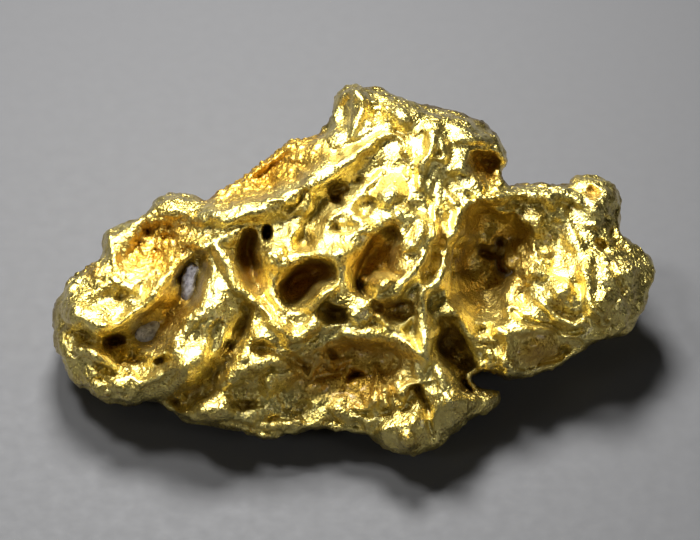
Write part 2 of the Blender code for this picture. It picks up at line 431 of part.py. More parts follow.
# ---- the broad face ---------------------------------------------------------------------------
class Face:
    """The broad face as a map over (u, v), with the forms laid out on it."""

    def __init__(self, u_axis, v_axis):
        self.u_axis = u_axis
        self.v_axis = v_axis
        self.u, self.v = np.meshgrid(u_axis, v_axis, indexing="ij")
        loop = spline(to_face(OUTLINE), True, 3)
        inside = inside_loop(self.u, self.v, loop)
        edge = line_distance(self.u, self.v, np.vstack([loop, loop[:1]]))[0]
        self.inward = np.where(inside, edge, -edge)
        self.radius = self.section_radius(loop)
        self.fade = ease(self.inward, 0.0, EDGE_FADE)
        axes = (u_axis, v_axis)
        self.warp_u = waves(5, axes, WARP)
        self.warp_v = waves(6, axes, WARP)

    def section_radius(self, loop):
        """Height of a body of round section over the outline: sqrt(2 h) of the blown membrane."""
        cell = 0.1
        u_axis = np.arange(-10.4, 10.5, cell)
        v_axis = np.arange(-6.6, 6.7, cell)
        u, v = np.meshgrid(u_axis, v_axis, indexing="ij")
        inside = inside_loop(u, v, loop)
        depth = np.where(inside, line_distance(u, v, np.vstack([loop, loop[:1]]))[0], 0.0)
        height = blown_membrane(inside.astype(float), cell)
        sure = (depth > 1.2 * cell).astype(float)
        steepness = blur(height * sure, 2.0) / np.maximum(blur(depth * sure, 2.0), 1e-4)
        steepness = blur(sample(steepness, u_axis, v_axis, self.u, self.v), 1.5)
        return np.sqrt(2.0 * steepness * np.maximum(self.inward, 0.0))

    def window(self, low, high):
        """The part of the map between two corners."""
        return (slice(*np.searchsorted(self.u_axis, (low[0], high[0]))),
                slice(*np.searchsorted(self.v_axis, (low[1], high[1]))))

    def oval(self, place, radii, turn, power, lean=(0.0, 0.0)):
        """(1 - r^2) ** power inside the oval r = 1, leaning to a side, and the window that holds it."""
        centre = to_face([place])[0]
        reach = max(radii) + 0.15
        window = self.window(centre - reach, centre + reach)
        du = self.u[window] + self.warp_u[window] - centre[0]
        dv = self.v[window] + self.warp_v[window] - centre[1]
        c, s = math.cos(math.radians(turn)), math.sin(math.radians(turn))
        p = (du * c + dv * s) / radii[0]
        q = (dv * c - du * s) / radii[1]
        return window, np.maximum(1.0 - p * p - q * q, 0.0) ** power * (1.0 + lean[0] * p + lean[1] * q)

    def stroke(self, width, path, power):
        """scale * (1 - (d / width)^2) ** power at distance d from the path, and its window."""
        line = spline(to_face([(*p, 1.0)[:3] for p in path]), False, 4)
        reach = 1.5 * width + 0.15
        window = self.window(line[:, :2].min(0) - reach, line[:, :2].max(0) + reach)
        u = self.u[window] + self.warp_u[window]
        v = self.v[window] + self.warp_v[window]
        distance, along = line_distance(u, v, line)
        i = np.minimum(along.astype(int), len(line) - 2)
        scale = line[i, 2] + (line[i + 1, 2] - line[i, 2]) * (along - i)
        return window, np.maximum(1.0 - (distance / (width * scale)) ** 2, 0.0) ** power * scale

    def relief(self, courses):
        """Height of the forms over the plain skin: each course's rises and hollows, added in turn."""
        relief = np.zeros_like(self.u)
        for course in courses:
            up = np.zeros_like(relief)
            down = np.zeros_like(relief)
            for kind, rise, *shape in course:
                window, form = self.oval(*shape) if kind == "oval" else self.stroke(*shape)
                target = up if rise > 0 else down
                target[window] = smooth_max(target[window], form * abs(rise), BLEND)
            relief += up - down
        return blur(relief, SOFTENING / (self.u_axis[1] - self.u_axis[0]))

    def skins(self):
        """Heights w of the front and back skins. They meet in the outline's own curved plane."""
        middle = MID_SLOPE * self.v + MID_DROP + MID_DROOP * (self.u / 10.0) ** 2
        rough = waves(11, (self.u_axis, self.v_axis), [(1.6, 0.14), (0.8, 0.10), (0.4, 0.06)])
        rough += self.knots(29, 260, (0.2, 0.8), (0.26, -0.17))
        reach = BACK_REACH_MAIN + (BACK_REACH_RIGHT - BACK_REACH_MAIN) * ease(self.u, 2.4, 4.4)
        reach = reach + (BACK_REACH_LEFT - BACK_REACH_MAIN) * ease(-self.u, 4.2, 6.6)
        behind = limit(BACK_FULLNESS * self.radius, reach)
        front = middle + limit(self.radius, FRONT_BULGE) + (self.relief(COURSES) + rough) * self.fade
        front = smooth_max(front, middle - DEEPEST * behind + 1.5 * rough, 0.2)
        back = middle - behind - self.knots(23, 110, (0.35, 1.15), (0.42, -0.36)) * self.fade
        place, radius, depth = HOLE_BACK
        window, form = self.oval(place, (radius, radius), 0.0, 1.0)
        back[window] = np.minimum(back[window] + depth * form, front[window] - 0.5)
        return front, back

    def knots(self, seed, count, sizes, rises):
        """Lumps and dents at random over the map: their sizes in mm, and their rises as shares of it."""
        rng = np.random.default_rng(seed)
        knots = np.zeros_like(self.u)
        for _ in range(count):
            place = (rng.uniform(55, 655), rng.uniform(85, 455))
            size = rng.uniform(*sizes)
            flat = rng.uniform(0.5, 1.0)
            window, form = self.oval(place, (size, size * flat), rng.uniform(0, 180), 1.2)
            knots[window] += form * size * rises[int(rng.uniform() < 0.45)]
        return knots


# ---- the body as a field ----------------------------------------------------------------------
def slope_of(height, face):
    """Length of the skin's normal (du, dv, 1), so that a height difference becomes a distance."""
    du, dv = np.gradient(height, face.u_axis, face.v_axis)
    return np.sqrt(1.0 + np.minimum(du * du + dv * dv, 9.0))


def body_field(cell):
    """The nugget's field over a grid in x, y and z, negative inside the metal.

    v depends on y + z and w on z - y alone, so each skin is looked up by the sum of the y and z
    indices. Returns the axes, the field and a function that gives the front skin's height.
    """
    x = np.arange(-10.5, 10.5 + cell, cell)
    y = np.arange(-6.9, 7.6, cell)
    z = np.arange(-0.5 * cell - round(0.9 / cell) * cell, 7.6, cell)
    half = math.cos(LEAN)
    v_axis = (y[0] + z[0] - LIFT + cell * np.arange(len(y) + len(z) - 1)) * half
    face = Face(x, v_axis)
    front, back = face.skins()
    diagonal = np.arange(len(y))[:, None] + np.arange(len(z))[None, :]
    w = (z[None, :] - LIFT - y[:, None]) * half
    over_front = (w[None] - front[:, diagonal]) / slope_of(front, face)[:, diagonal]
    under_back = (back[:, diagonal] - w[None]) / slope_of(back, face)[:, diagonal]
    field = np.maximum(np.maximum(over_front, under_back), -face.inward[:, diagonal])
    field = smooth_max(field, underside(x, y)[:, :, None] - z, UNDERSIDE_BLEND)
    lumps = waves(41, (x, y, z), [(2.3, 0.24), (1.1, 0.15), (0.55, 0.08)])
    field += lumps * ease(-over_front, 0.15, 0.9) * ease(z, 0.05, 0.5)
    columns = slice(*np.searchsorted(x, (2.5, 7.5)))
    aslant = x[columns, None, None] + HOLE_SLANT * (w[None] - HOLE_DEPTH)
    v = np.broadcast_to(v_axis[diagonal][None], aslant.shape)
    for line in HOLE_LINES:
        hole = HOLE_RADIUS - line_distance(aslant, v, to_face(line))[0]
        field[columns] = np.maximum(field[columns], hole)
    for grain in GRAINS.values():
        field = np.maximum(field, GRAIN_GAP - grain_distance(grain, front, face, x, y, z))
    for axis in range(3):
        rim = np.moveaxis(field, axis, 0)
        rim[:2] = np.maximum(rim[:2], cell)
        rim[-2:] = np.maximum(rim[-2:], cell)
    return (x, y, z), field, face, front


def underside(x, y):
    """Height of the underside over the ground, with the worn rests reaching through z = 0."""
    x_grid, y_grid = np.meshgrid(x, y, indexing="ij")
    height = UNDERSIDE_HEIGHT + waves(31, (x, y), [(2.6, 0.3), (1.1, 0.14), (0.5, 0.06)])
    for rest_x, rest_y, radius in RESTS:
        away = ((x_grid - rest_x) ** 2 + (y_grid - rest_y) ** 2) / radius ** 2
        height -= REST_DEPTH * np.exp(-1.8 * away)
    return np.maximum(height, BELOW_GROUND)


def grain_frame(grain, front, face):
    """Middle of a grain in x, y and z, and its three axes as rows."""
    (a, b), _, turn, depth, _ = grain
    u, v = to_face([(a, b)])[0]
    w = sample(front, face.u_axis, face.v_axis, np.array([u]), np.array([v]))[0] - depth
    middle = np.array(to_space(u, v, w))
    c, s = math.cos(math.radians(turn)), math.sin(math.radians(turn))
    origin = np.array(to_space(0.0, 0.0, 0.0))
    axes = [np.array(to_space(*way)) - origin for way in ((c, s, 0.0), (-s, c, 0.0), (0.0, 0.0, 1.0))]
    return middle, np.array(axes)


def grain_distance(grain, front, face, x, y, z):
    """Roughly the distance to the grain's oval: (r - 1) times its mean radius along the way."""
    middle, axes = grain_frame(grain, front, face)
    radii = np.array(grain[1])
    offsets = (x[:, None, None] - middle[0], y[None, :, None] - middle[1], z[None, None, :] - middle[2])
    r2 = 0.0
    g2 = 0.0
    for axis, radius in zip(axes, radii):
        along = sum(o * c for o, c in zip(offsets, axis))
        r2 = r2 + (along / radius) ** 2
        g2 = g2 + (along / radius ** 2) ** 2
    return (r2 - 1.0) * 0.5 * np.sqrt(r2) / np.maximum(np.sqrt(g2), 1e-6)


# ---- from field to mesh -----------------------------------------------------------------------
CORNERS = np.array([(n & 1, n >> 1 & 1, n >> 2 & 1) for n in range(8)])


def split_patterns():
    """For each of the 256 corner patterns of a cell: whether its inside or outside falls in two."""
    split = np.zeros(256, bool)
    for pattern in range(256):
        for side in (0, 1):
            members = [n for n in range(8) if (pattern >> n & 1) == side]
            reached = set(members[:1])
            for _ in members:
                reached |= {m for m in members if any(np.abs(CORNERS[m] - CORNERS[n]).sum() == 1
                                                      for n in reached)}
            split[pattern] |= len(reached) < len(members)
    return split


def corner_patterns(inside):
    """For each cell of the grid, which of its 8 corners are inside, as bits."""
    pattern = np.zeros([size - 1 for size in inside.shape], np.uint8)
    for n, corner in enumerate(CORNERS):
        window = tuple(slice(c, size - 1 + c) for c, size in zip(corner, inside.shape))
        pattern |= inside[window].astype(np.uint8) << n
    return pattern


def part_pinches(field, offset):
    """Change the field where the skin would touch itself, so that it stays one plain closed surface.

    In each such cell one corner changes sides: the one that leaves the fewest such cells round it,
    and among those the one nearest the skin.
    """
    split = split_patterns()
    inside = field < 0
    while True:
        pinched = np.argwhere(split[corner_patterns(inside)])
        if not len(pinched):
            return
        for cell in pinched:
            if not split[corner_patterns(inside[tuple(slice(c, c + 2) for c in cell)])].any():
                continue
            choices = []
            for corner in CORNERS:
                at = tuple(int(c) for c in cell + corner)
                block = inside[tuple(slice(c - 1, c + 2) for c in at)]
                block[1, 1, 1] = not block[1, 1, 1]
                left = int(split[corner_patterns(block)].sum())
                block[1, 1, 1] = not block[1, 1, 1]
                choices.append((left, abs(float(field[at])), at))
            at = min(choices)[2]
            inside[at] = not inside[at]
            field[at] = -offset if inside[at] else offset


def zero_level(field, origin, cell):
    """Surface nets: a point in each cell that the zero level crosses, a quad round each crossed edge."""
    inside = field < 0
    rings, spots, outward = [], [], []
    for axis in range(3):
        ahead, side_b, side_c = (np.eye(3, dtype=int)[(axis + n) % 3] for n in range(3))
        low = tuple(slice(0, size - step) for size, step in zip(field.shape, ahead))
        high = tuple(slice(step, size) for size, step in zip(field.shape, ahead))
        at = np.argwhere(inside[low] != inside[high])
        start = field[tuple(at.T)]
        end = field[tuple((at + ahead).T)]
        spots.append(at + (start / (start - end))[:, None] * ahead)
        rings.append(np.stack([np.ravel_multi_index((at - p * side_b - q * side_c).T, field.shape)
                               for p, q in ((0, 0), (1, 0), (1, 1), (0, 1))], axis=1))
        outward.append(start < 0)
    rings, outward = np.concatenate(rings), np.concatenate(outward)
    spots = np.repeat(np.concatenate(spots), 4, axis=0)
    cells, index = np.unique(rings, return_inverse=True)
    index = index.ravel()
    points = np.stack([np.bincount(index, spots[:, k]) for k in range(3)], axis=1)
    points /= np.bincount(index)[:, None]
    faces = index.reshape(-1, 4)
    faces = np.where(outward[:, None], faces, faces[:, ::-1])
    return origin + points * cell, faces


def largest_shell(points, faces):
    """The biggest connected surface alone, without crumbs."""
    label = np.arange(len(points))
    pairs = np.concatenate([faces[:, (0, 1)], faces[:, (1, 2)], faces[:, (2, 3)]])
    while True:
        ends = label[pairs]
        low = ends.min(axis=1)
        new = label.copy()
        np.minimum.at(new, ends[:, 0], low)
        np.minimum.at(new, ends[:, 1], low)
        new = new[new]
        if (new == label).all():
            break
        label = new
    names, sizes = np.unique(label, return_counts=True)
    keep = label == names[np.argmax(sizes)]
    renumber = np.cumsum(keep) - 1
    return points[keep], renumber[faces[keep[faces[:, 0]]]]


# ---- Blender objects --------------------------------------------------------------------------
def material(name, colour, roughness, metallic, transmission=0.0):
    """A plain Principled material."""
    made = bpy.data.materials.new(name)
    made.use_nodes = True
    shader = made.node_tree.nodes["Principled BSDF"]
    shader.inputs["Base Color"].default_value = (*colour, 1.0)
    shader.inputs["Roughness"].default_value = roughness
    shader.inputs["Metallic"].default_value = metallic
    shader.inputs["Transmission Weight"].default_value = transmission
    return made


def add_object(name, mesh, finish):
    mesh.materials.append(finish)
    made = bpy.data.objects.new(name, mesh)
    bpy.context.scene.collection.objects.link(made)
    return made


def thinned(points, faces, triangles):
    """The surface as a mesh of about so many triangles, by Blender's Decimate modifier."""
    dense = bpy.data.meshes.new("dense")
    dense.from_pydata(points.tolist(), [], faces.tolist())
    holder = bpy.data.objects.new("dense", dense)
    bpy.context.scene.collection.objects.link(holder)
    decimate = holder.modifiers.new("Decimate", "DECIMATE")
    decimate.ratio = triangles / (2 * len(faces))
    holder_now = holder.evaluated_get(bpy.context.evaluated_depsgraph_get())
    mesh = bpy.data.meshes.new_from_object(holder_now)
    bpy.data.objects.remove(holder)
    bpy.data.meshes.remove(dense)
    return mesh


def rest_flats(mesh):
    """Cut the worn rests off flat at z = 0 and close them."""
    work = bmesh.new()
    work.from_mesh(mesh)
    bmesh.ops.triangulate(work, faces=work.faces)
    bmesh.ops.bisect_plane(work, geom=work.verts[:] + work.edges[:] + work.faces[:], dist=FLAT_SNAP,
                           plane_co=(0, 0, 0), plane_no=(0, 0, 1), clear_inner=True)
    rims = [edge for edge in work.edges if edge.is_boundary]
    bmesh.ops.edgenet_fill(work, edges=rims)
    bmesh.ops.triangulate(work, faces=[face for face in work.faces if len(face.verts) > 3])
    bmesh.ops.recalc_face_normals(work, faces=work.faces)
    for corner in work.verts:
        if corner.co.z < FLAT_SNAP:
            corner.co.z = 0.0
    work.to_mesh(mesh)
    work.free()


def grain_points(grain, seed):
    """Corners of a broken quartz grain: spread over an oval, each pulled in a little at random."""
    (_, radii, _, _, count) = grain
    rng = np.random.default_rng(seed)
    n = np.arange(count) + 0.5
    height = 1.0 - 2.0 * n / count
    around = n * math.pi * (3.0 - math.sqrt(5.0)) + rng.uniform(-0.35, 0.35, count)
    flat = np.sqrt(1.0 - height * height)
    points = np.stack([flat * np.cos(around), flat * np.sin(around), height], axis=1)
    return points * rng.uniform(0.86, 1.0, count)[:, None] * np.array(radii)


def make_grain(name, grain, seed, middle, axes, shift, finish):
    """A faceted grain: the convex hull of its corners, in place."""
    points = (grain_points(grain, seed) @ axes + middle + shift) * 0.001
    work = bmesh.new()
    corners = [work.verts.new(point) for point in points]
    hull = bmesh.ops.convex_hull(work, input=corners)
    loose = {item for item in hull["geom_interior"] + hull["geom_unused"]
             if isinstance(item, bmesh.types.BMVert)}
    bmesh.ops.delete(work, geom=list(loose), context="VERTS")
    bmesh.ops.recalc_face_normals(work, faces=work.faces)
    mesh = bpy.data.meshes.new(name)
    work.to_mesh(mesh)
    work.free()
    return add_object(name, mesh, finish)


def main():
    for old in list(bpy.data.objects):
        bpy.data.objects.remove(old)
    axes, field, face, front = body_field(CELL)
    part_pinches(field, 0.02 * CELL)
    points, faces = largest_shell(*zero_level(field, np.array([axis[0] for axis in axes]), CELL))
    gold_mesh = thinned(points, faces, GOLD_TRIANGLES)
    rest_flats(gold_mesh)
    gold_mesh.name = "gold_nugget"

    # The origin is the middle of the footprint, on the ground.
    spots = np.empty(len(gold_mesh.vertices) * 3)
    gold_mesh.vertices.foreach_get("co", spots)
    spots = spots.reshape(-1, 3)
    shift = -0.5 * (spots.min(axis=0) + spots.max(axis=0)) * (1.0, 1.0, 0.0)
    spots = (spots + shift) * 0.001
    gold_mesh.vertices.foreach_set("co", spots.ravel())
    gold_mesh.update()
    gold = material("native_gold", (0.83, 0.60, 0.22), 0.30, 1.0)
    add_object("gold_nugget", gold_mesh, gold)

    quartz = material("milky_quartz", (0.62, 0.60, 0.64), 0.35, 0.0, 0.3)
    for seed, (name, grain) in enumerate(GRAINS.items(), start=3):
        middle, grain_axes = grain_frame(grain, front, face)
        make_grain(name, grain, seed, middle, grain_axes, shift, quartz)


main()
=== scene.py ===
"""Gold nugget with its grains of quartz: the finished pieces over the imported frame, and a studio.

The gold is worked out as a field from the same forms as the solid model, with smaller forms added,
and its skin is then roughened point by point: lumps, dents, beads of gold and crinkled flakes, each
where the nugget has them. Two broken grains of quartz sit in its hollows.
"""
import math

import bpy
import numpy as np
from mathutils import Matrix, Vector


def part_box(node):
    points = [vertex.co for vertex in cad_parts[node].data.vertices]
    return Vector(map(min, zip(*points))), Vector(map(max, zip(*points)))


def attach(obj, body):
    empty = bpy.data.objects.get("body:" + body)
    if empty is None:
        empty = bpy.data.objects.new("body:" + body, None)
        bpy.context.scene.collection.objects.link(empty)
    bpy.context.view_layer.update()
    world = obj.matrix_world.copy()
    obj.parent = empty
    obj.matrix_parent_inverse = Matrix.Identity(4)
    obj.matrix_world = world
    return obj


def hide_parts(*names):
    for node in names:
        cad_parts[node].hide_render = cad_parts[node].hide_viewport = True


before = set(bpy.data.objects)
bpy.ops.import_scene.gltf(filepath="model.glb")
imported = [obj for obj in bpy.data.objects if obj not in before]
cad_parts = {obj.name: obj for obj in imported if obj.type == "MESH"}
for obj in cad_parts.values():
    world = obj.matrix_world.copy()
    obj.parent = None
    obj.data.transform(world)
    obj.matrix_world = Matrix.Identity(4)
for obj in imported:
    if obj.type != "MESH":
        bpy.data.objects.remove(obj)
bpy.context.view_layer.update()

bl_info = {
    "name": "Gold nugget",
    "version": (1, 0, 0),
    "blender": (4, 5, 0),
    "location": "3D View > Sidebar > Nugget",
    "description": "Native gold nugget with quartz grains on a plain studio floor",
    "category": "Add Mesh",
}

MM = 0.001

# ---- the solid model's dimensions, mm ---------------------------------------------------------
MAP_STEP = 1.0 / 30.0            # one step of the face map
MAP_CENTRE = (356.0, 270.0)      # the map's point at u = 0, v = 0
LEAN = math.radians(45.0)        # the face leans back by this from upright
LIFT = 3.3                       # height of the map's centre plane over the ground
FRONT_BULGE = 2.6                # how far the front skin can swell out of the outline's plane
DEEPEST = 0.5                    # hollows stop this share of the way from that plane to the back
MID_SLOPE = -0.4                 # the outline's plane falls back by this for each mm up the face
MID_DROP = -0.6                  # its height w at the middle
MID_DROOP = -0.3                 # and both ends droop by this
BACK_REACH_MAIN = 4.6            # how far the back swells behind the main mass
BACK_REACH_RIGHT = 1.6           # behind the thin right lobe
BACK_REACH_LEFT = 1.9            # behind the left lobe
RIGHT_LOBE = (2.4, 4.4)          # the back thins from the main reach to the lobe's between these u
LEFT_LOBE = (4.2, 6.6)           # and between these to the left
BACK_FULLNESS = 1.35             # the back's section against the round one of the outline's width
STEEPEST = 3.0                   # steeper slopes than this count as this when skins are measured
SKIN_BLEND = 0.2                 # rounding where the front skin reaches the deepest it may go
WALL = 0.5                       # metal left over the hollow behind the hole
MEMBRANE_CELL = 0.1              # the membrane that gives the round section: its cells
MEMBRANE_U = (-10.4, 10.5)       # and its reach
MEMBRANE_V = (-6.6, 6.7)
EDGE_FADE = 0.32                 # forms die out over this width inside the outline
MARGIN = 0.15                    # room left round a form for its bent edge
WIDEST = 1.5                     # the largest scale that a path's point may carry
BLEND = 0.08                     # rounding where forms of one course meet
SOFTENING = 0.045                # the creases between forms are rounded over this
UNDERSIDE_HEIGHT = 0.42          # mean height of the underside over the ground
UNDERSIDE_BLEND = 0.5            # rounding between the underside and the flanks
REST_DEPTH = 1.0                 # how far each worn rest reaches below the mean underside
REST_FALL = 1.8                  # how fast it falls off with the square of the way out
GRID_X = (-10.5, 10.5)           # the field's grid reaches over these, mm
GRID_Y = (-6.9, 7.6)
GRID_Z = (-0.9, 7.6)
MAP_SPAN = ((55, 655), (85, 455))    # the face's reach over the map, across and down
NOISE_REACH = 12.0               # the noises are laid out this far from the middle
# Noises: wavelength and height of each of their layers.
WARP = [(1.1, 0.12), (0.5, 0.10), (0.25, 0.05)]      # shifts that bend the forms' edges
FRONT_NOISE = [(1.6, 0.14), (0.8, 0.10), (0.4, 0.06)]
UNDERSIDE_NOISE = [(2.6, 0.3), (1.1, 0.14), (0.5, 0.06)]
FLANK_NOISE = [(2.3, 0.24), (1.1, 0.15), (0.55, 0.08)]
FLANK_FADE = (0.15, 0.9)         # the flanks' noise grows between these depths under the front skin
GROUND_FADE = (0.05, 0.5)        # and between these heights over the ground
# Lumps and dents at random: seed, count, sizes, and rises of a lump and a dent as shares of the size.
FRONT_KNOTS = (29, 260, (0.2, 0.8), (0.26, -0.17))
BACK_KNOTS = (23, 110, (0.35, 1.15), (0.42, -0.36))
DENT_SHARE = 0.45                # share of them that are dents
BELOW_GROUND = -0.35             # the lowest the underside goes before it is cut flat at z = 0
GRAIN_GAP = -0.11                # the gold grips the quartz: its sockets are this much narrower

# Worn patches that the nugget rests on: x, y and radius, mm.
RESTS = [(0.1, 0.0, 1.25), (1.6, -3.6, 1.0), (-4.6, -1.9, 1.0), (-2.6, 2.8, 1.1), (3.0, 2.5, 1.1)]

# Crooked hole through the floor of the right-hand socket: its middle lines on the face map.
HOLE_LINES = [[(498, 243), (497, 255), (500, 268)], [(484, 251), (497, 253)], [(500, 268), (512, 273)]]
HOLE_RADIUS = 0.2
HOLE_DEPTH = -0.9                # height w where it crosses its middle lines
HOLE_SLANT = 0.9                 # it runs this far to the right for each mm deeper
HOLE_COLUMNS = (2.5, 7.5)        # it lies between these x
HOLE_BACK = ((526, 257), 0.95, 1.1)      # place, radius and depth of the hollow behind it

# Quartz grains: place on the face map, half-sizes along u, v and w, turn on the face in degrees,
# how far the middle sits below the gold's surface.
GRAINS = {
    "quartz_grain_upper": ((190, 284), (0.36, 0.80, 0.44), -8.0, 0.02),
    "quartz_grain_lower": ((153, 331), (0.58, 0.42, 0.42), 12.0, 0.14),
}
MAP_SHIFT = (0.0004, -0.419, 0.0)    # where the face map's own origin lies in the frame

# Closed outline of the broad face on the face map, clockwise from the left tip.
OUTLINE = [
    (55, 315), (57, 300), (60, 294), (67, 280), (75, 275), (84, 270), (91, 263), (98, 259),
    (101, 250), (101, 240), (103, 232), (110, 227), (120, 223), (132, 219), (146, 211), (152, 202),
    (160, 196), (172, 193), (184, 192), (196, 195), (205, 200), (213, 195), (222, 188), (238, 179),
    (252, 170), (268, 158), (280, 149), (289, 143), (300, 140), (310, 138), (319, 135), (325, 127),
    (330, 117), (333, 106), (333, 96), (338, 88), (346, 83), (355, 82), (366, 85), (380, 86),
    (395, 90), (410, 96), (425, 103), (438, 106), (451, 108), (466, 113), (480, 119), (492, 127),
    (502, 137), (508, 147), (511, 158), (510, 163), (505, 168), (503, 176), (506, 183), (514, 185),
    (530, 184), (545, 184), (560, 185), (571, 184), (575, 179), (581, 176), (590, 175), (602, 177),
    (613, 181), (620, 190), (623, 205), (623, 220), (623, 233), (631, 241), (641, 250), (652, 259),
    (657, 268), (655, 281), (650, 292), (645, 305), (638, 318), (632, 330), (625, 336), (610, 340),
    (595, 343), (573, 355), (557, 366), (541, 370), (524, 376), (506, 377), (494, 371), (484, 370),
    (474, 373), (470, 378), (478, 386), (492, 388), (498, 391), (500, 397), (497, 404), (487, 412),
    (471, 418), (462, 426), (450, 437), (439, 446), (428, 451), (415, 456), (397, 455), (382, 447),
    (370, 436), (350, 430), (330, 428), (312, 428), (290, 435), (268, 439), (252, 435), (234, 430),
    (214, 426), (190, 422), (179, 415), (170, 407), (156, 402), (134, 404), (118, 403), (105, 400),
    (89, 388), (78, 382), (67, 366), (60, 352), (56, 334),
]


def oval(name, rise, place, radii, turn=0.0, power=1.0, lean=(0.0, 0.0)):
    """An oval form: rise in mm (minus for a hollow), place on the map, radii in mm, turn in degrees.

    The lean makes it higher or deeper towards one side, along its two own axes.
    """
    return ("oval", rise, place, radii, turn, power, lean)


def stroke(name, rise, width, path, power=1.2):
    """A form along a path on the map, whose points may carry a scale: rise and half-width in mm."""
    return ("stroke", rise, width, path, power)


# Course 1: the broad swells and hollows.
BROAD = [
    oval("back terrace", -0.9, (270, 166), (2.4, 1.0), 27, 1.5),
    oval("basin", -1.1, (158, 250), (1.75, 1.15), 30, 1.2, (0.0, 0.3)),
    oval("left dish", -0.45, (108, 299), (0.9, 0.5), 10, 1.5),
    oval("left lobe crest", 0.45, (88, 305), (1.1, 0.75), -15, 1.5),
    oval("left under-cut", -0.75, (98, 343), (1.2, 0.42), -8, 1.2, (0.0, 0.4)),
    oval("saddle", 0.4, (222, 296), (1.3, 1.0), 40, 1.5),
    oval("lower left boss", 0.75, (190, 362), (1.05, 0.8), 55, 1.0),
    oval("lower left hollow", -0.75, (132, 362), (1.0, 0.55), 0, 1.0),
    oval("lower lump", 0.45, (216, 409), (0.85, 0.5), 5, 1.0),
    oval("slab over the pocket", 0.35, (358, 240), (1.2, 0.6), 25, 1.2),
    oval("big concavity", -1.15, (354, 374), (2.2, 1.15), 0, 0.9, (0.0, 0.5)),
    stroke("deep cleft", -1.9, 0.62, [(447, 322, 0.6), (452, 340), (459, 358), (469, 380, 0.9)], 0.7),
    oval("hood shoulder", 0.45, (437, 122), (2.4, 0.95), -22, 1.5),
    oval("right lobe set back", -0.85, (556, 262), (3.5, 2.7), 0, 0.6),
    oval("lower recess", -1.05, (318, 400), (3.5, 1.5), 4, 0.6, (0.0, 0.3)),
    oval("left recess", -0.2, (104, 374), (1.6, 1.1), 0, 0.8, (0.0, 0.3)),
    oval("socket", -1.5, (510, 264), (2.05, 2.1), 0, 0.7),
    oval("main swell", 0.8, (352, 262), (3.6, 2.5), 12, 1.0),
    oval("right mass", 0.7, (608, 282), (1.2, 1.35), 0, 0.8),
    oval("right knob", 0.4, (598, 204), (0.9, 1.1), 0, 1.2),
    oval("under the slab", -1.1, (545, 352), (1.45, 0.85), -12, 0.5),
    oval("behind the curls", -0.9, (484, 345), (0.75, 0.75), 0, 0.6),
    oval("amber block", 0.45, (538, 348), (0.75, 0.6), 10, 0.7),
    oval("front lobe", 0.45, (402, 428), (0.9, 0.85), 0, 1.2),
    oval("spike root", 0.35, (446, 396), (0.9, 0.75), 0, 1.2),
]

# Course 2: troughs, pockets and pits with steep walls.
HOLLOWS = [
    stroke("quartz trough", -1.4, 0.72, [
           (196, 262, 0.7), (186, 285), (172, 308), (150, 330), (122, 345, 0.7)], 0.9),
    stroke("long pit", -1.15, 0.42, [(252, 242, 0.8), (247, 258), (252, 271), (260, 284, 0.8)], 0.8),
    oval("black pit", -1.3, (268, 235), (0.15, 0.22), 0, 0.6),
    oval("pit beside it", -0.45, (254, 238), (0.25, 0.16), 0, 0.9),
    oval("round pocket", -1.5, (308, 286), (1.0, 0.75), 35, 0.7, (0.0, 0.75)),
    oval("small pocket", -0.8, (333, 317), (0.45, 0.42), 0, 0.8, (0.0, 0.6)),
    stroke("olive trough", -0.42, 0.42, [
           (392, 148, 0.7), (372, 162), (353, 177), (335, 192), (322, 208), (312, 228),
           (304, 247, 0.8)], 0.9),
    stroke("middle pocket", -1.35, 0.55, [(387, 240, 0.8), (378, 256), (366, 272), (363, 288, 0.8)], 0.6),
    oval("middle pocket floor", -1.2, (384, 264), (0.75, 0.6), 30, 0.7, (0.0, 0.5)),
    oval("olive hollow", -0.75, (429, 262), (0.33, 0.78), -14, 0.9),
    oval("bowl", -0.5, (396, 312), (0.6, 0.55), 0, 0.9, (0.0, 0.6)),
    oval("bowl's side pocket", -0.6, (377, 307), (0.3, 0.28), 0, 0.9, (0.0, 0.6)),
    oval("under the hood", -1.2, (484, 165), (0.64, 0.5), -10, 0.7, (0.0, 0.5)),
    stroke("hood funnel", -1.1, 0.36, [(484, 160), (490, 174), (491, 188, 0.6)], 0.7),
    oval("socket pocket", -0.9, (507, 243), (0.92, 1.0), 0, 0.45),
    stroke("socket floor", -1.5, 1.05, [
           (484, 222, 0.6), (478, 250, 0.8), (478, 282), (484, 312, 0.8)], 0.6),
    oval("crevice hole", -0.5, (214, 389), (0.3, 0.22), 0, 0.8),
    stroke("boss crevice", -0.95, 0.36, [
           (232, 345, 0.7), (222, 362), (210, 382), (195, 397), (176, 403, 0.6)], 0.9),
    stroke("crevice by the lip", -0.55, 0.25, [
           (254, 308, 0.6), (247, 325), (240, 340), (236, 352, 0.7)], 0.9),
    oval("dark pit", -0.7, (165, 356), (0.3, 0.18), 10, 0.7),
    oval("dark pit left", -0.5, (144, 356), (0.22, 0.13), 10, 0.8),
    stroke("under-lip line", -0.4, 0.22, [
           (256, 349), (270, 347), (284, 346), (296, 354), (306, 362, 0.6)], 0.9),
]

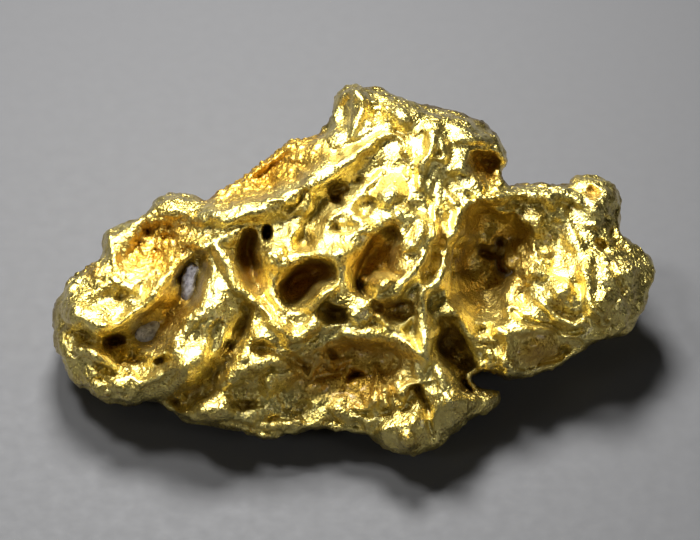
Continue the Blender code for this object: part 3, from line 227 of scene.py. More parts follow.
# Course 3: the rounded ridges and lips between the hollows.
RIDGES = [
    stroke("upper ridge", 0.75, 0.7, [
           (200, 221, 0.6), (215, 214, 0.8), (237, 214), (256, 209), (280, 201), (300, 190), (316, 178),
           (326, 166, 0.8)]),
    stroke("upper ridge branch", 0.45, 0.4, [
           (322, 176, 0.7), (338, 171), (356, 156), (376, 143, 0.8), (390, 139, 0.5)]),
    stroke("short spur", 0.5, 0.3, [(322, 172), (317, 187), (314, 204), (308, 215, 0.7)]),
    stroke("second ridge", 0.45, 0.36, [
           (200, 251), (206, 248), (214, 243, 0.7), (230, 239), (248, 232, 0.8)]),
    stroke("basin rim", 0.6, 0.24, [(144, 310, 0.8), (155, 299), (167, 283), (179, 269), (193, 257)]),
    stroke("basin top rim", 0.35, 0.2, [(130, 223, 0.7), (148, 215), (166, 204), (182, 202, 0.8)]),
    stroke("knob crest", 0.4, 0.16, [(109, 234, 1.3), (112, 249, 0.8), (116, 260), (121, 271, 0.8)]),
    stroke("left lip", 0.5, 0.48, [
           (66, 292, 0.7), (73, 302), (80, 315), (95, 322), (113, 331, 0.8), (130, 327, 0.7),
           (143, 312, 0.7)]),
    stroke("ledge", 0.45, 0.2, [(84, 350, 0.8), (97, 351), (110, 357), (119, 362, 0.9)]),
    stroke("hollow rib", 0.35, 0.12, [(131, 364), (138, 372), (146, 380)]),
    stroke("boss edge", 0.4, 0.28, [(198, 318, 0.8), (190, 328), (183, 338), (178, 350, 0.7)]),
    stroke("boss foot", 0.35, 0.22, [(149, 378, 0.7), (164, 370), (178, 362, 0.7)]),
    stroke("pit ridge", 0.45, 0.36, [(222, 248, 0.7), (230, 266), (240, 284), (251, 292), (259, 302)]),
    stroke("lip", 0.5, 0.34, [
           (266, 302, 0.8), (273, 317), (281, 325), (298, 332, 1.1), (311, 326, 0.9), (322, 317, 0.6)]),
    stroke("lip strut", 0.35, 0.17, [(276, 275, 0.7), (275, 290), (284, 306, 0.8)]),
    stroke("pocket brow", 0.35, 0.3, [
           (286, 272, 0.7), (296, 259), (315, 253), (331, 262), (340, 277, 0.7)]),
    stroke("knuckle left edge", 0.3, 0.2, [(260, 309), (252, 322), (248, 334, 0.7)]),
    stroke("pocket right wall", 0.45, 0.28, [
           (419, 222, 0.8), (411, 240), (400, 248), (397, 261), (403, 268, 0.7)]),
    stroke("pocket rim band", 0.45, 0.3, [
           (366, 279, 0.6), (371, 294), (386, 299), (400, 286), (412, 271), (421, 256, 0.8)]),
    stroke("short rib", 0.35, 0.14, [(426, 222), (432, 238, 0.8)]),
    stroke("divider", 0.6, 0.32, [
           (461, 214, 0.7), (459, 233), (450, 254), (441, 270), (436, 281), (427, 291), (424, 303),
           (421, 320, 1.1), (424, 340, 0.9), (427, 362, 0.6)]),
    stroke("bowl lip", 0.35, 0.13, [
           (377, 315, 0.7), (384, 326), (395, 331), (404, 325), (409, 316, 0.7)]),
    stroke("concavity brow", 0.4, 0.32, [
           (333, 347, 0.7), (348, 339), (366, 336), (391, 337), (406, 347), (419, 354, 0.7)]),
    stroke("flake", 0.4, 0.13, [
           (302, 366, 0.7), (310, 379, 0.9), (318, 356, 0.8), (328, 363), (334, 368), (345, 363, 0.6)]),
    stroke("bottom rim", 0.3, 0.3, [
           (262, 426, 0.6), (290, 424), (312, 422), (335, 412), (350, 414), (368, 420, 0.7)]),
    stroke("zigzag left", 0.55, 0.14, [(355, 400, 0.7), (368, 403), (374, 389), (378, 371, 0.5)]),
    stroke("zigzag right", 0.5, 0.13, [(396, 383, 0.8), (401, 394), (409, 382), (416, 379, 0.7)]),
    stroke("hood rim", 0.35, 0.32, [
           (455, 141, 0.7), (470, 136), (489, 136), (501, 146), (509, 159, 0.7)]),
    stroke("hood bar", 0.55, 0.22, [(432, 136), (430, 154), (424, 166), (421, 187, 0.8)]),
    stroke("second hood bar", 0.4, 0.18, [(441, 141), (445, 158)]),
    stroke("hood cross bar", 0.3, 0.13, [(424, 161), (446, 160)]),
    stroke("crown crest", 0.4, 0.26, [
           (340, 92, 0.8), (347, 88), (357, 90), (362, 98), (360, 109), (356, 121), (351, 132, 0.6)]),
    stroke("top bar", 0.7, 0.42, [(504, 195, 0.8), (520, 192), (540, 194), (556, 194), (574, 197, 0.8)]),
    stroke("knob bar", 0.35, 0.14, [(613, 182), (619, 190), (620, 200)]),
    stroke("face edge", 0.4, 0.16, [(581, 269, 0.7), (584, 284), (588, 300), (597, 314, 0.8)]),
    stroke("slab rim", 0.5, 0.2, [(542, 299, 0.7), (549, 311), (560, 318), (574, 325)]),
    stroke("slab crest", 0.35, 0.14, [(551, 277), (560, 282), (569, 288)]),
    stroke("curl", 0.25, 0.09, [(467, 329), (476, 338), (491, 340, 0.7)]),
    stroke("curl right", 0.25, 0.09, [(496, 329), (504, 336), (501, 347, 0.7)]),
    stroke("lower curl", 0.25, 0.12, [(487, 352), (492, 364), (503, 371), (526, 370, 0.7)]),
]

# Course 4: bosses and beads.
KNOBS = [
    oval("lobe top", 0.3, (77, 277), (0.35, 0.2), 10, 1.0),
    oval("amber bead", 0.3, (94, 269), (0.22, 0.2), 0, 0.8),
    oval("boss over the strut", 0.45, (276, 257), (0.42, 0.5), 0, 0.9),
    oval("knuckle", 0.4, (266, 331), (0.62, 0.52), 20, 0.9),
    oval("white boss", 0.6, (389, 192), (0.62, 0.58), 0, 0.9),
    oval("olive ball", 0.5, (402, 216), (0.5, 0.45), 0, 0.8),
    oval("boss by the pocket", 0.4, (335, 253), (0.5, 0.32), -25, 0.9),
    oval("pocket inner wall", 0.6, (319, 298), (0.62, 0.42), 25, 0.8),
    oval("tongue", 0.75, (382, 281), (0.52, 0.38), 35, 0.7),
    oval("flat flake", 0.4, (279, 377), (0.75, 0.4), 28, 0.6),
    oval("zigzag mass", 0.4, (388, 396), (0.3, 0.45), 0, 0.9),
    oval("socket lumps", 0.65, (535, 267), (0.62, 0.62), 0, 0.9),
    oval("socket lump top", 0.3, (545, 250), (0.22, 0.2), 0, 0.9),
    oval("slab", 0.5, (562, 294), (0.8, 0.5), -25, 0.9),
    oval("bar boss", 0.4, (548, 206), (0.25, 0.34), 0, 0.9),
    oval("cheek", 0.45, (462, 170), (0.5, 0.34), 10, 0.9),
    oval("cheek ball", 0.3, (481, 200), (0.2, 0.15), 0, 0.8),
    oval("cheek ball right", 0.25, (496, 190), (0.13, 0.13), 0, 0.8),
    oval("cheek facet", 0.3, (452, 203), (0.35, 0.2), -45, 0.9),
    oval("highlight boss", 0.25, (298, 232), (0.3, 0.2), 10, 0.9),
    oval("lower lump left", 0.3, (581, 322), (0.32, 0.17), 0, 0.9),
    oval("lower lump right", 0.25, (605, 322), (0.32, 0.15), 0, 0.9),
    oval("ring knob", 0.3, (228, 405), (0.32, 0.28), 0, 0.8),
    oval("rough knob", 0.3, (120, 383), (0.22, 0.22), 0, 0.9),
    oval("bowl shoulder", 0.35, (357, 316), (0.45, 0.4), 0, 1.0),
    oval("small bump a", 0.2, (399, 144), (0.15, 0.13), 0, 0.9),
    oval("small bump b", 0.2, (401, 154), (0.15, 0.13), 0, 0.9),
    oval("crown block", 0.25, (374, 97), (0.25, 0.15), -60, 0.9),
    oval("front knob", 0.3, (409, 443), (0.3, 0.35), 0, 0.8),
    oval("front ball", 0.3, (429, 446), (0.17, 0.14), 0, 0.8),
    oval("front top", 0.3, (412, 421), (0.14, 0.3), 0, 0.9),
]

# Course 5: small pits and grooves, cut last.
PITS = [
    oval("basin pit a", -0.3, (147, 236), (0.13, 0.2), 0, 0.8),
    oval("basin pit b", -0.3, (161, 227), (0.16, 0.2), 20, 0.8),
    oval("basin pit c", -0.25, (129, 242), (0.16, 0.1), 0, 0.8),
    oval("basin pit d", -0.25, (171, 231), (0.14, 0.1), 0, 0.8),
    oval("basin pit e", -0.35, (193, 213), (0.15, 0.17), 0, 0.8),
    oval("basin low hollow", -0.35, (147, 289), (0.4, 0.3), 40, 1.0),
    stroke("orange groove", -0.25, 0.14, [(85, 285), (93, 288), (103, 281)]),
    stroke("dark crevice", -0.35, 0.1, [(118, 302), (128, 299), (140, 298)]),
    oval("crown face", -0.35, (344, 114), (0.28, 0.5), 8, 1.0),
    oval("crown spot", -0.15, (340, 106), (0.14, 0.1), 0, 1.0),
    oval("bead pit", -0.4, (377, 115), (0.28, 0.29), 0, 0.7),
    oval("bead hollow", -0.25, (374, 128), (0.36, 0.2), 10, 0.9),
    stroke("arc line", -0.2, 0.09, [
           (333, 149), (345, 142), (359, 137), (378, 133), (398, 135), (405, 142)]),
    oval("pit by spur", -0.5, (338, 201), (0.24, 0.2), 0, 0.7),
    oval("pit low", -0.35, (337, 228), (0.16, 0.12), 0, 0.8),
    oval("pit high", -0.3, (363, 177), (0.14, 0.1), 30, 0.8),
    oval("pit mid", -0.4, (370, 200), (0.14, 0.28), 0, 0.8),
    oval("pit mid low", -0.35, (362, 214), (0.14, 0.12), 0, 0.8),
    stroke("spur groove", -0.3, 0.13, [(289, 209), (298, 203), (308, 193)]),
    stroke("amber groove", -0.45, 0.14, [(435, 212, 0.7), (440, 228), (443, 251, 0.8)]),
    stroke("dark line", -0.25, 0.09, [(437, 183), (434, 193), (430, 203)]),
    oval("knob pit", -0.45, (590, 192), (0.2, 0.22), 0, 0.7),
    oval("knob pit b", -0.3, (616, 209), (0.12, 0.14), 0, 0.8),
    oval("knob pit c", -0.3, (608, 216), (0.16, 0.1), 0, 0.8),
    oval("dark facet", -0.35, (604, 244), (0.25, 0.2), 30, 0.8),
    stroke("face groove", -0.25, 0.09, [(613, 267), (620, 278), (621, 291)]),
    stroke("slab under-line", -0.4, 0.13, [(516, 312), (530, 318), (545, 324), (560, 330), (575, 331)]),
    stroke("slit", -0.6, 0.1, [(352, 377), (364, 371)]),
    oval("flake pocket", -0.5, (328, 354), (0.28, 0.13), -38, 0.8),
    stroke("front groove", -0.5, 0.16, [(415, 385, 0.7), (422, 402), (427, 422), (427, 437, 0.7)]),
    oval("ring pit", -0.2, (228, 402), (0.1, 0.08), 0, 0.8),
    oval("hood pit", -0.2, (443, 129), (0.08, 0.08), 0, 0.8),
    stroke("facet", 0.25, 0.12, [(345, 206), (333, 219)]),
    oval("bead in pit", 0.3, (379, 113), (0.12, 0.12), 0, 0.6),
]

COURSES = (BROAD, HOLLOWS, RIDGES, KNOBS, PITS)

# ---- forms that the solid model leaves out ----------------------------------------------------
WORN = 0.8                       # share of the wrinkles' listed heights that wear has left
WORN_FINE = 0.65                 # and of the beads', flakes' and folds'
WORN_SPAN = 0.25                 # tips are measured against the mean height over this, mm
WORN_TIP = 0.2                   # height left to a tip, mm

# Knobs, bosses and hollows: rise, radii, turn and place. Minus is a hollow.
LUMPS = [
    (0.25, (0.5, 0.45), 0, (390, 192)), (0.25, (0.55, 0.28), 10, (343, 251)),
    (0.55, (0.55, 0.45), 30, (383, 280)), (0.5, (0.6, 0.4), 35, (323, 293)),
    (0.35, (0.42, 0.24), 10, (392, 323)),
    (0.3, (0.62, 0.42), 10, (280, 377)), (0.4, (0.42, 0.6), 8, (374, 397)),
    (0.3, (0.5, 0.42), -20, (230, 408)), (0.3, (0.4, 0.35), 0, (106, 388)),
    (0.25, (0.4, 0.3), 20, (158, 374)), (0.25, (0.45, 0.3), -30, (188, 366)),
    (0.2, (0.35, 0.5), 0, (176, 284)), (0.3, (0.6, 0.5), 0, (604, 300)),
    (0.25, (0.5, 0.45), 0, (636, 268)), (0.25, (0.35, 0.5), 20, (553, 205)),
    (0.25, (0.45, 0.4), 0, (536, 292)), (0.25, (0.4, 0.35), 0, (560, 288)),
    (0.25, (0.4, 0.4), 0, (272, 262)), (0.25, (0.45, 0.3), 40, (330, 268)),
    (0.3, (0.35, 0.3), 0, (445, 372)), (0.3, (0.35, 0.3), 0, (408, 440)),
    (-0.35, (0.45, 0.4), 30, (338, 190)), (-0.3, (0.35, 0.45), 20, (364, 206)),
    (-0.25, (0.7, 0.22), 5, (342, 228)), (-0.35, (0.5, 0.28), 10, (390, 226)),
    (-0.3, (0.35, 0.5), 20, (306, 240)), (-0.25, (0.3, 0.3), 0, (412, 208)),
    (-0.4, (0.24, 0.2), 0, (138, 355)), (-0.3, (0.5, 0.3), -20, (110, 366)),
    (-0.25, (0.3, 0.22), 0, (92, 352)), (-0.5, (0.75, 1.3), -14, (553, 243)),
    (-0.35, (0.35, 0.2), 20, (121, 296)), (-0.25, (0.3, 0.35), 0, (596, 262)),
    (-0.35, (0.35, 0.4), 0, (214, 392)), (-0.3, (0.4, 0.22), 0, (250, 402)),
    (-0.3, (0.35, 0.3), 0, (302, 352)), (-0.3, (0.3, 0.3), 0, (232, 340)),
    (-0.35, (0.26, 0.2), 0, (356, 372)), (-0.3, (0.3, 0.22), -30, (420, 410)),
    (-0.3, (0.4, 0.3), 0, (300, 404)), (-0.25, (0.35, 0.3), 0, (452, 414)),
    (-0.3, (0.28, 0.24), 0, (148, 232)), (-0.3, (0.3, 0.22), 20, (170, 240)),
    (-0.25, (0.24, 0.2), 0, (134, 248)), (-0.25, (0.24, 0.2), 0, (158, 256)),
    (-0.3, (0.3, 0.16), 30, (266, 176)), (-0.25, (0.3, 0.16), 30, (298, 164)),
    (0.45, (0.32, 0.6), -20, (174, 290)), (0.6, (0.24, 0.34), -20, (179, 269)),
    (0.45, (0.36, 0.3), 0, (462, 372)), (-0.3, (0.3, 0.24), 0, (74, 366)),
    (-0.25, (0.26, 0.2), 0, (104, 378)), (-0.25, (0.3, 0.2), 20, (130, 390)),
    (0.25, (0.3, 0.2), 20, (84, 384)), (-0.3, (0.34, 0.2), 10, (276, 418)),
    (-0.25, (0.3, 0.2), -10, (330, 416)), (0.25, (0.4, 0.24), 0, (316, 388)),
    (-0.25, (0.45, 0.2), 15, (330, 374)), (-0.25, (0.3, 0.3), 0, (262, 352)),
    (0.2, (0.26, 0.2), 0, (246, 344)), (-0.25, (0.24, 0.2), 0, (432, 356)),
]

# Wrinkles: rise, half-width and path. Minus is a crevice.
WRINKLES = [
    (0.3, 0.22, [(64, 306), (78, 318), (98, 325), (120, 321), (140, 312), (156, 298), (166, 281)]),
    (-0.35, 0.2, [(66, 324), (80, 334), (100, 340), (125, 343)]),
    (0.3, 0.15, [(84, 347), (98, 351), (110, 358), (121, 364)]),
    (0.25, 0.2, [(62, 338), (68, 352), (80, 368), (96, 384)]),
    (-0.4, 0.22, [(222, 322), (216, 345), (206, 370), (190, 394), (168, 402)]),
    (0.28, 0.2, [(300, 210), (318, 188), (338, 165), (372, 142)]),
    (0.25, 0.16, [(328, 202), (348, 180), (366, 162)]),
    (0.25, 0.3, [(312, 206), (346, 181), (388, 150)]),
    (0.22, 0.16, [(346, 214), (362, 190), (380, 172)]),
    (0.25, 0.14, [(214, 210), (240, 204), (266, 198), (288, 200)]),
    (0.38, 0.32, [(546, 204), (572, 234), (586, 278), (598, 318)]),
    (-0.3, 0.14, [(600, 238), (612, 258), (616, 280)]),
    (-0.25, 0.12, [(624, 290), (612, 300), (604, 318)]),
    (0.3, 0.12, [(378, 364), (383, 384), (386, 402)]),
    (0.28, 0.12, [(396, 372), (402, 388), (398, 404)]),
    (-0.3, 0.14, [(388, 380), (392, 396), (390, 410)]),
    (0.25, 0.14, [(352, 340), (380, 336), (404, 344), (420, 356)]),
    (-0.3, 0.14, [(366, 258), (358, 276), (362, 296)]),
    (0.22, 0.12, [(268, 342), (292, 346), (314, 342)]),
    (-0.25, 0.14, [(248, 306), (240, 326), (236, 340)]),
    (0.25, 0.14, [(318, 356), (334, 362), (350, 360)]),
    (-1.5, 0.14, [(484, 251), (497, 253)]),
    (-1.5, 0.14, [(498, 243), (497, 255), (500, 268), (512, 273)]),
    (-0.3, 0.14, [(470, 196), (492, 206), (520, 204)]),
    (0.22, 0.1, [(530, 236), (536, 252), (530, 268)]),
    (-0.3, 0.14, [(420, 176), (428, 196), (426, 216)]),
    (0.22, 0.12, [(400, 150), (410, 164), (408, 182)]),
    (0.35, 0.2, [(423, 410), (427, 424), (427, 438)]),
]

MIDDLE = [oval("lump", rise, place, radii, turn) for rise, radii, turn, place in LUMPS]
MIDDLE += [stroke("wrinkle", WORN * rise, width, path) for rise, width, path in WRINKLES]

# Beads and small knobs: height, radius and places.
BEADS = [
    (0.17, 0.11, [(369, 124), (375, 122), (381, 125), (371, 131), (378, 130), (384, 131), (366, 129),
                  (314, 144), (322, 156), (307, 150), (296, 155)]),
    (0.15, 0.13, [(386, 110), (392, 114), (398, 110), (404, 116), (389, 120), (396, 121), (410, 121),
                  (421, 112), (433, 116), (446, 121), (456, 128), (468, 124), (480, 131)]),
    (0.22, 0.19, [(76, 277), (90, 294), (109, 291), (98, 283), (84, 288), (118, 284), (187, 212),
                  (176, 207), (164, 210), (150, 221)]),
    (0.2, 0.17, [(205, 316), (197, 323), (191, 331), (186, 340), (200, 332), (209, 326), (180, 350)]),
    (0.22, 0.18, [(335, 328), (340, 337), (346, 306), (354, 302), (363, 306), (350, 316), (361, 320),
                  (369, 313), (345, 325), (356, 330), (366, 327)]),
    (0.16, 0.2, [(222, 247), (233, 241), (246, 235), (206, 250), (268, 250), (276, 246), (284, 254),
                 (273, 262), (283, 266), (266, 268)]),
    (0.2, 0.16, [(468, 172), (474, 188), (488, 194), (481, 183), (466, 186), (456, 182), (455, 160),
                 (449, 172)]),
    (0.24, 0.2, [(520, 250), (528, 258), (538, 252), (546, 262), (532, 270), (543, 275), (524, 282),
                 (519, 268), (536, 286), (549, 284)]),
    (0.22, 0.19, [(337, 402), (345, 398), (353, 404), (340, 413), (349, 418), (358, 413), (310, 425),
                  (320, 425), (298, 428), (282, 431), (366, 424)]),
    (0.2, 0.16, [(98, 374), (106, 382), (116, 372), (112, 392), (124, 386), (100, 390), (134, 392),
                 (90, 378), (128, 398), (146, 396)]),
    (0.26, 0.13, [(89, 350), (97, 348), (117, 362), (108, 355)]),
    (0.18, 0.15, [(560, 190), (519, 190), (532, 188), (606, 184), (616, 196), (612, 230), (622, 246),
                  (634, 256), (642, 268), (640, 284), (632, 300), (622, 314), (600, 206), (584, 200)]),
    (0.2, 0.17, [(268, 310), (262, 318), (272, 326), (281, 332), (291, 334), (302, 334), (312, 328),
                 (255, 330), (262, 340), (273, 342)]),
    (0.15, 0.12, [(343, 262), (334, 250), (326, 247), (318, 249), (308, 251), (348, 250), (355, 244)]),
]

# Flakes and facets: height, radii, turn and place.
FLAKES = [
    (0.28, (0.3, 0.13), 20, (226, 355)), (0.3, (0.3, 0.15), -30, (242, 357)),
    (0.28, (0.32, 0.13), 60, (236, 368)), (0.26, (0.28, 0.14), 10, (230, 380)),
    (0.3, (0.3, 0.14), -50, (249, 375)), (0.28, (0.3, 0.16), 30, (257, 363)),
    (0.26, (0.3, 0.15), -10, (244, 394)), (0.3, (0.34, 0.2), 25, (275, 401)),
    (0.3, (0.38, 0.22), 30, (260, 369)), (0.32, (0.36, 0.18), 15, (286, 360)),
    (0.3, (0.3, 0.2), -40, (297, 371)), (0.28, (0.34, 0.2), 50, (265, 392)),
    (0.3, (0.26, 0.1), 70, (376, 398)), (0.3, (0.26, 0.1), -60, (366, 392)),
    (0.32, (0.3, 0.12), 65, (388, 385)), (0.28, (0.26, 0.12), 35, (398, 402)),
    (0.26, (0.28, 0.12), -20, (404, 412)), (0.3, (0.3, 0.28), 0, (374, 417)),
    (0.25, (0.3, 0.12), -35, (588, 278)), (0.25, (0.34, 0.14), 55, (604, 292)),
    (0.22, (0.3, 0.12), -60, (618, 300)), (0.25, (0.28, 0.12), 20, (576, 306)),
    (0.22, (0.3, 0.14), 80, (596, 262)), (0.22, (0.34, 0.12), -45, (612, 256)),
]

# Fine folds and curls, and creases: height, half-width and path.
FOLDS = [
    (0.25, 0.1, [(364, 333), (378, 331), (392, 332), (403, 339), (410, 348)]),
    (0.25, 0.12, [(214, 193), (226, 187), (237, 182)]),
    (0.22, 0.07, [(222, 400), (228, 397), (234, 402), (233, 409), (226, 412), (221, 407), (222, 400)]),
    (0.22, 0.07, [(401, 436), (408, 432), (415, 437), (416, 446), (410, 452), (402, 449), (401, 436)]),
    (0.25, 0.07, [(425, 378), (434, 374), (440, 382), (433, 388), (426, 384)]),
    (0.25, 0.07, [(445, 378), (455, 376), (459, 385), (451, 390)]),
    (0.25, 0.07, [(430, 398), (440, 394), (447, 401), (441, 409)]),
    (0.22, 0.07, [(450, 398), (460, 396), (466, 404)]),
    (0.25, 0.07, [(488, 356), (497, 352), (505, 358), (500, 365)]),
    (0.25, 0.07, [(508, 366), (516, 359), (526, 363), (521, 370)]),
    (0.25, 0.07, [(468, 334), (474, 344), (484, 347), (494, 342)]),
    (0.25, 0.07, [(472, 352), (481, 357), (489, 363)]),
    (0.2, 0.08, [(345, 88), (352, 95), (350, 108), (346, 120)]),
    (0.2, 0.09, [(344, 158), (352, 150), (362, 145), (372, 141)]),
    (0.2, 0.09, [(330, 190), (338, 184), (348, 178), (358, 168)]),
    (0.18, 0.08, [(405, 172), (411, 182), (412, 194), (407, 203)]),
    (0.22, 0.09, [(590, 232), (600, 238), (612, 238), (620, 232)]),
    (-0.2, 0.07, [(378, 160), (385, 170), (384, 178)]),
    (-0.22, 0.08, [(448, 186), (456, 194), (468, 196)]),
    (-0.22, 0.08, [(590, 246), (600, 252), (606, 262)]),
    (-0.2, 0.08, [(562, 214), (572, 222), (580, 232)]),
    (-0.22, 0.08, [(206, 270), (212, 282), (214, 296)]),
    (-0.2, 0.08, [(228, 300), (236, 312), (238, 324)]),
    (-0.2, 0.08, [(66, 330), (74, 340), (76, 352)]),
    (-0.22, 0.09, [(300, 350), (310, 344), (322, 342)]),
    (-0.2, 0.08, [(392, 350), (398, 360), (396, 372)]),
]

SMALL = [oval("bead", WORN_FINE * rise, place, (radius, radius), 0, 0.7)
         for rise, radius, places in BEADS for place in places]
SMALL += [oval("flake", WORN_FINE * rise, place, radii, turn, 0.6)
          for rise, radii, turn, place in FLAKES]
SMALL += [stroke("fold", WORN_FINE * rise, width, path) for rise, width, path in FOLDS]
COURSES = COURSES + (MIDDLE, SMALL)

# Where the skin is not plain: 0 to 1 over ovals on the face map.
ZONES = {
    "grainy": [
        oval("basin", 1.0, (158, 250), (1.7, 1.2), 30, 0.5),
        oval("terrace", 0.7, (270, 166), (2.2, 0.8), 27, 0.5),
        oval("band", 0.7, (224, 227), (1.0, 0.45), 20, 0.5),
        oval("boss over the strut", 0.9, (276, 257), (0.45, 0.55), 0, 0.5),
        oval("bowl shoulder", 0.8, (357, 314), (0.6, 0.45), 0, 0.5),
        oval("boss edge", 0.8, (193, 328), (0.45, 0.7), -40, 0.5),
        oval("lip", 0.6, (290, 318), (0.8, 0.5), 0, 0.5),
        oval("socket lumps", 0.8, (533, 265), (0.75, 0.9), 0, 0.5),
        oval("cheek", 0.7, (475, 180), (1.1, 0.8), 0, 0.5),
        oval("top bar", 0.6, (540, 196), (1.4, 0.4), 0, 0.5),
        oval("lobe", 0.7, (95, 275), (0.9, 0.7), 0, 0.5),
        oval("crown", 0.6, (385, 118), (1.1, 0.6), 0, 0.5),
        oval("right edge", 0.6, (625, 262), (0.9, 1.0), 0, 0.5),
    ],
    "flaky": [
        oval("under the boss", 1.0, (245, 372), (1.25, 0.95), 0, 0.5),
        oval("spike block", 1.0, (446, 396), (1.0, 0.8), 0, 0.5),
        oval("curls", 1.0, (484, 338), (0.8, 0.5), 0, 0.5),
        oval("lower left", 0.9, (112, 382), (1.3, 0.7), 0, 0.5),
        oval("left rim", 0.9, (76, 352), (0.7, 1.0), 0, 0.5),
        oval("bottom band", 0.9, (272, 414), (1.8, 0.5), 0, 0.5),
        oval("curly lip", 0.9, (505, 362), (0.9, 0.4), 0, 0.5),
        oval("flakes", 0.9, (322, 360), (0.8, 0.5), 0, 0.5),
        oval("zigzag", 0.8, (385, 395), (0.9, 0.8), 0, 0.5),
        oval("slab", 0.6, (565, 298), (0.8, 0.6), 0, 0.5),
    ],
    "smooth": [
        oval("big concavity", 1.0, (350, 378), (1.9, 0.9), 0, 0.5),
        oval("lower left boss", 0.9, (193, 366), (0.8, 0.8), 55, 0.5),
        oval("saddle", 0.7, (215, 298), (0.9, 0.9), 0, 0.5),
        oval("round pocket", 0.8, (305, 283), (0.9, 0.7), 35, 0.5),
        oval("socket pocket", 0.8, (508, 244), (0.9, 1.0), 0, 0.5),
        oval("amber block", 0.9, (536, 346), (0.8, 0.7), 10, 0.5),
        oval("left patch", 0.7, (128, 281), (0.4, 0.45), 0, 0.5),
        oval("white boss", 0.8, (389, 192), (0.55, 0.5), 0, 0.5),
        oval("left lip", 0.8, (80, 308), (0.7, 0.4), -40, 0.5),
    ],
    "amber": [
        oval("basin", 1.0, (158, 250), (1.7, 1.2), 30, 0.7),
        oval("terrace", 1.0, (266, 168), (2.6, 0.9), 27, 0.6),
        oval("orange bead", 0.8, (94, 272), (0.5, 0.4), 0, 0.7),
        oval("trough", 0.6, (165, 312), (1.0, 0.6), 40, 0.7),
        oval("hood pocket", 0.8, (484, 168), (0.6, 0.7), 0, 0.7),
        oval("socket", 0.7, (508, 262), (1.1, 1.4), 0, 0.7),
        oval("amber block", 0.9, (536, 346), (0.8, 0.7), 10, 0.7),
        oval("round pocket", 0.7, (300, 280), (0.9, 0.7), 35, 0.7),
        oval("middle pocket", 0.7, (378, 262), (0.8, 0.9), 30, 0.7),
        oval("big concavity", 1.0, (348, 374), (2.3, 1.1), 0, 0.7),
        oval("long pit", 0.7, (251, 262), (0.4, 0.8), 0, 0.7),
        oval("amber groove", 0.9, (440, 232), (0.2, 0.8), -6, 0.7),
        oval("knob pit", 0.9, (590, 192), (0.25, 0.25), 0, 0.7),
        oval("bowl", 0.6, (388, 309), (0.6, 0.5), 0, 0.7),
    ],
}
ZONE_FADE = (0.6, 1.4)           # zones fade out between these depths behind the front skin, mm
# The hollow map below sets where the gold's colour is darkened as painted shade.
HOLLOW_SPAN = 0.55               # hollows are measured against the skin's mean height over this, mm
HOLLOW_DEPTHS = (0.05, 0.75)     # and count from the first depth on, fully from the second, mm
RIM = (0.2, 1.2)                 # the rim is roughest up to the first width and ends at the second, mm


# ---- small helpers ----------------------------------------------------------------------------
def smooth_max(p, q, k):
    """The larger of two fields, rounded where they cross within k."""
    near = np.maximum(k - np.abs(p - q), 0.0) / k
    return np.maximum(p, q) + near * near * k * 0.25


def ease(x, low, high):
    """0 up to low, 1 from high on, smooth between."""
    t = np.clip((x - low) / (high - low), 0.0, 1.0)
    return t * t * (3.0 - 2.0 * t)


def limit(x, reach):
    """x while it is small, levelling off at reach."""
    return x / (1.0 + (x / reach) ** 3) ** (1.0 / 3.0)


def to_face(points):
    """Map steps to mm on the face: u to the right, v up. A third column stays as it is."""
    p = np.array(points, float)
    p[:, 0] = (p[:, 0] - MAP_CENTRE[0]) * MAP_STEP
    p[:, 1] = (MAP_CENTRE[1] - p[:, 1]) * MAP_STEP
    return p


def to_space(u, v, w):
    """Face coordinates to x, y and z: the face leans back, and its centre is LIFT over the ground."""
    return u, v * math.sin(LEAN) - w * math.cos(LEAN), v * math.cos(LEAN) + w * math.sin(LEAN) + LIFT


def spline(points, closed, pieces):
    """Catmull-Rom curve through the points, with so many pieces to each span."""
    p = np.array(points, float)
    if closed:
        p = np.vstack([p[-1:], p, p[:2]])
    else:
        p = np.vstack([2 * p[:1] - p[1:2], p, 2 * p[-1:] - p[-2:-1]])
    t = (np.arange(pieces) / pieces)[None, :, None]
    q0, q1, q2, q3 = (p[i:len(p) - 3 + i, None, :] for i in range(4))
    curve = 0.5 * (2 * q1 + (q2 - q0) * t + (2 * q0 - 5 * q1 + 4 * q2 - q3) * t ** 2
                   + (3 * q1 - q0 - 3 * q2 + q3) * t ** 3).reshape(-1, p.shape[1])
    return curve if closed else np.vstack([curve, p[-2:-1]])


def line_distance(u, v, line):
    """Distance from each point to a polyline, and how far along it (in points) the nearest spot is."""
    best = np.full(u.shape, 1e9)
    along = np.zeros(u.shape)
    for i in range(len(line) - 1):
        start = line[i, :2]
        du, dv = line[i + 1, :2] - start
        t = np.clip(((u - start[0]) * du + (v - start[1]) * dv) / (du * du + dv * dv + 1e-12), 0.0, 1.0)
        d = (u - start[0] - t * du) ** 2 + (v - start[1] - t * dv) ** 2
        closer = d < best
        best = np.where(closer, d, best)
        along = np.where(closer, i + t, along)
    return np.sqrt(best), along


def inside_loop(u, v, loop):
    """Even-odd test of the points against a closed polygon."""
    inside = np.zeros(u.shape, bool)
    for (pu, pv), (qu, qv) in zip(loop, np.vstack([loop[1:], loop[:1]])):
        if pv != qv:
            crosses = (pv > v) != (qv > v)
            inside ^= crosses & (u < (qu - pu) * (v - pv) / (qv - pv) + pu)
    return inside


def lattice_noise(rng, axes, wavelength):
    """Smooth noise over the product of the axes: random values on a coarse lattice, eased between."""
    half = math.ceil(NOISE_REACH / wavelength)
    field = rng.uniform(-1.0, 1.0, [2 * half + 1] * len(axes))
    for n, axis in enumerate(axes):
        place = axis / wavelength
        k = np.floor(place).astype(int) + half
        t = ease(place - np.floor(place), 0.0, 1.0)
        t = t.reshape([-1 if m == n else 1 for m in range(field.ndim)])
        field = np.take(field, k, axis=n) * (1 - t) + np.take(field, k + 1, axis=n) * t
    return field


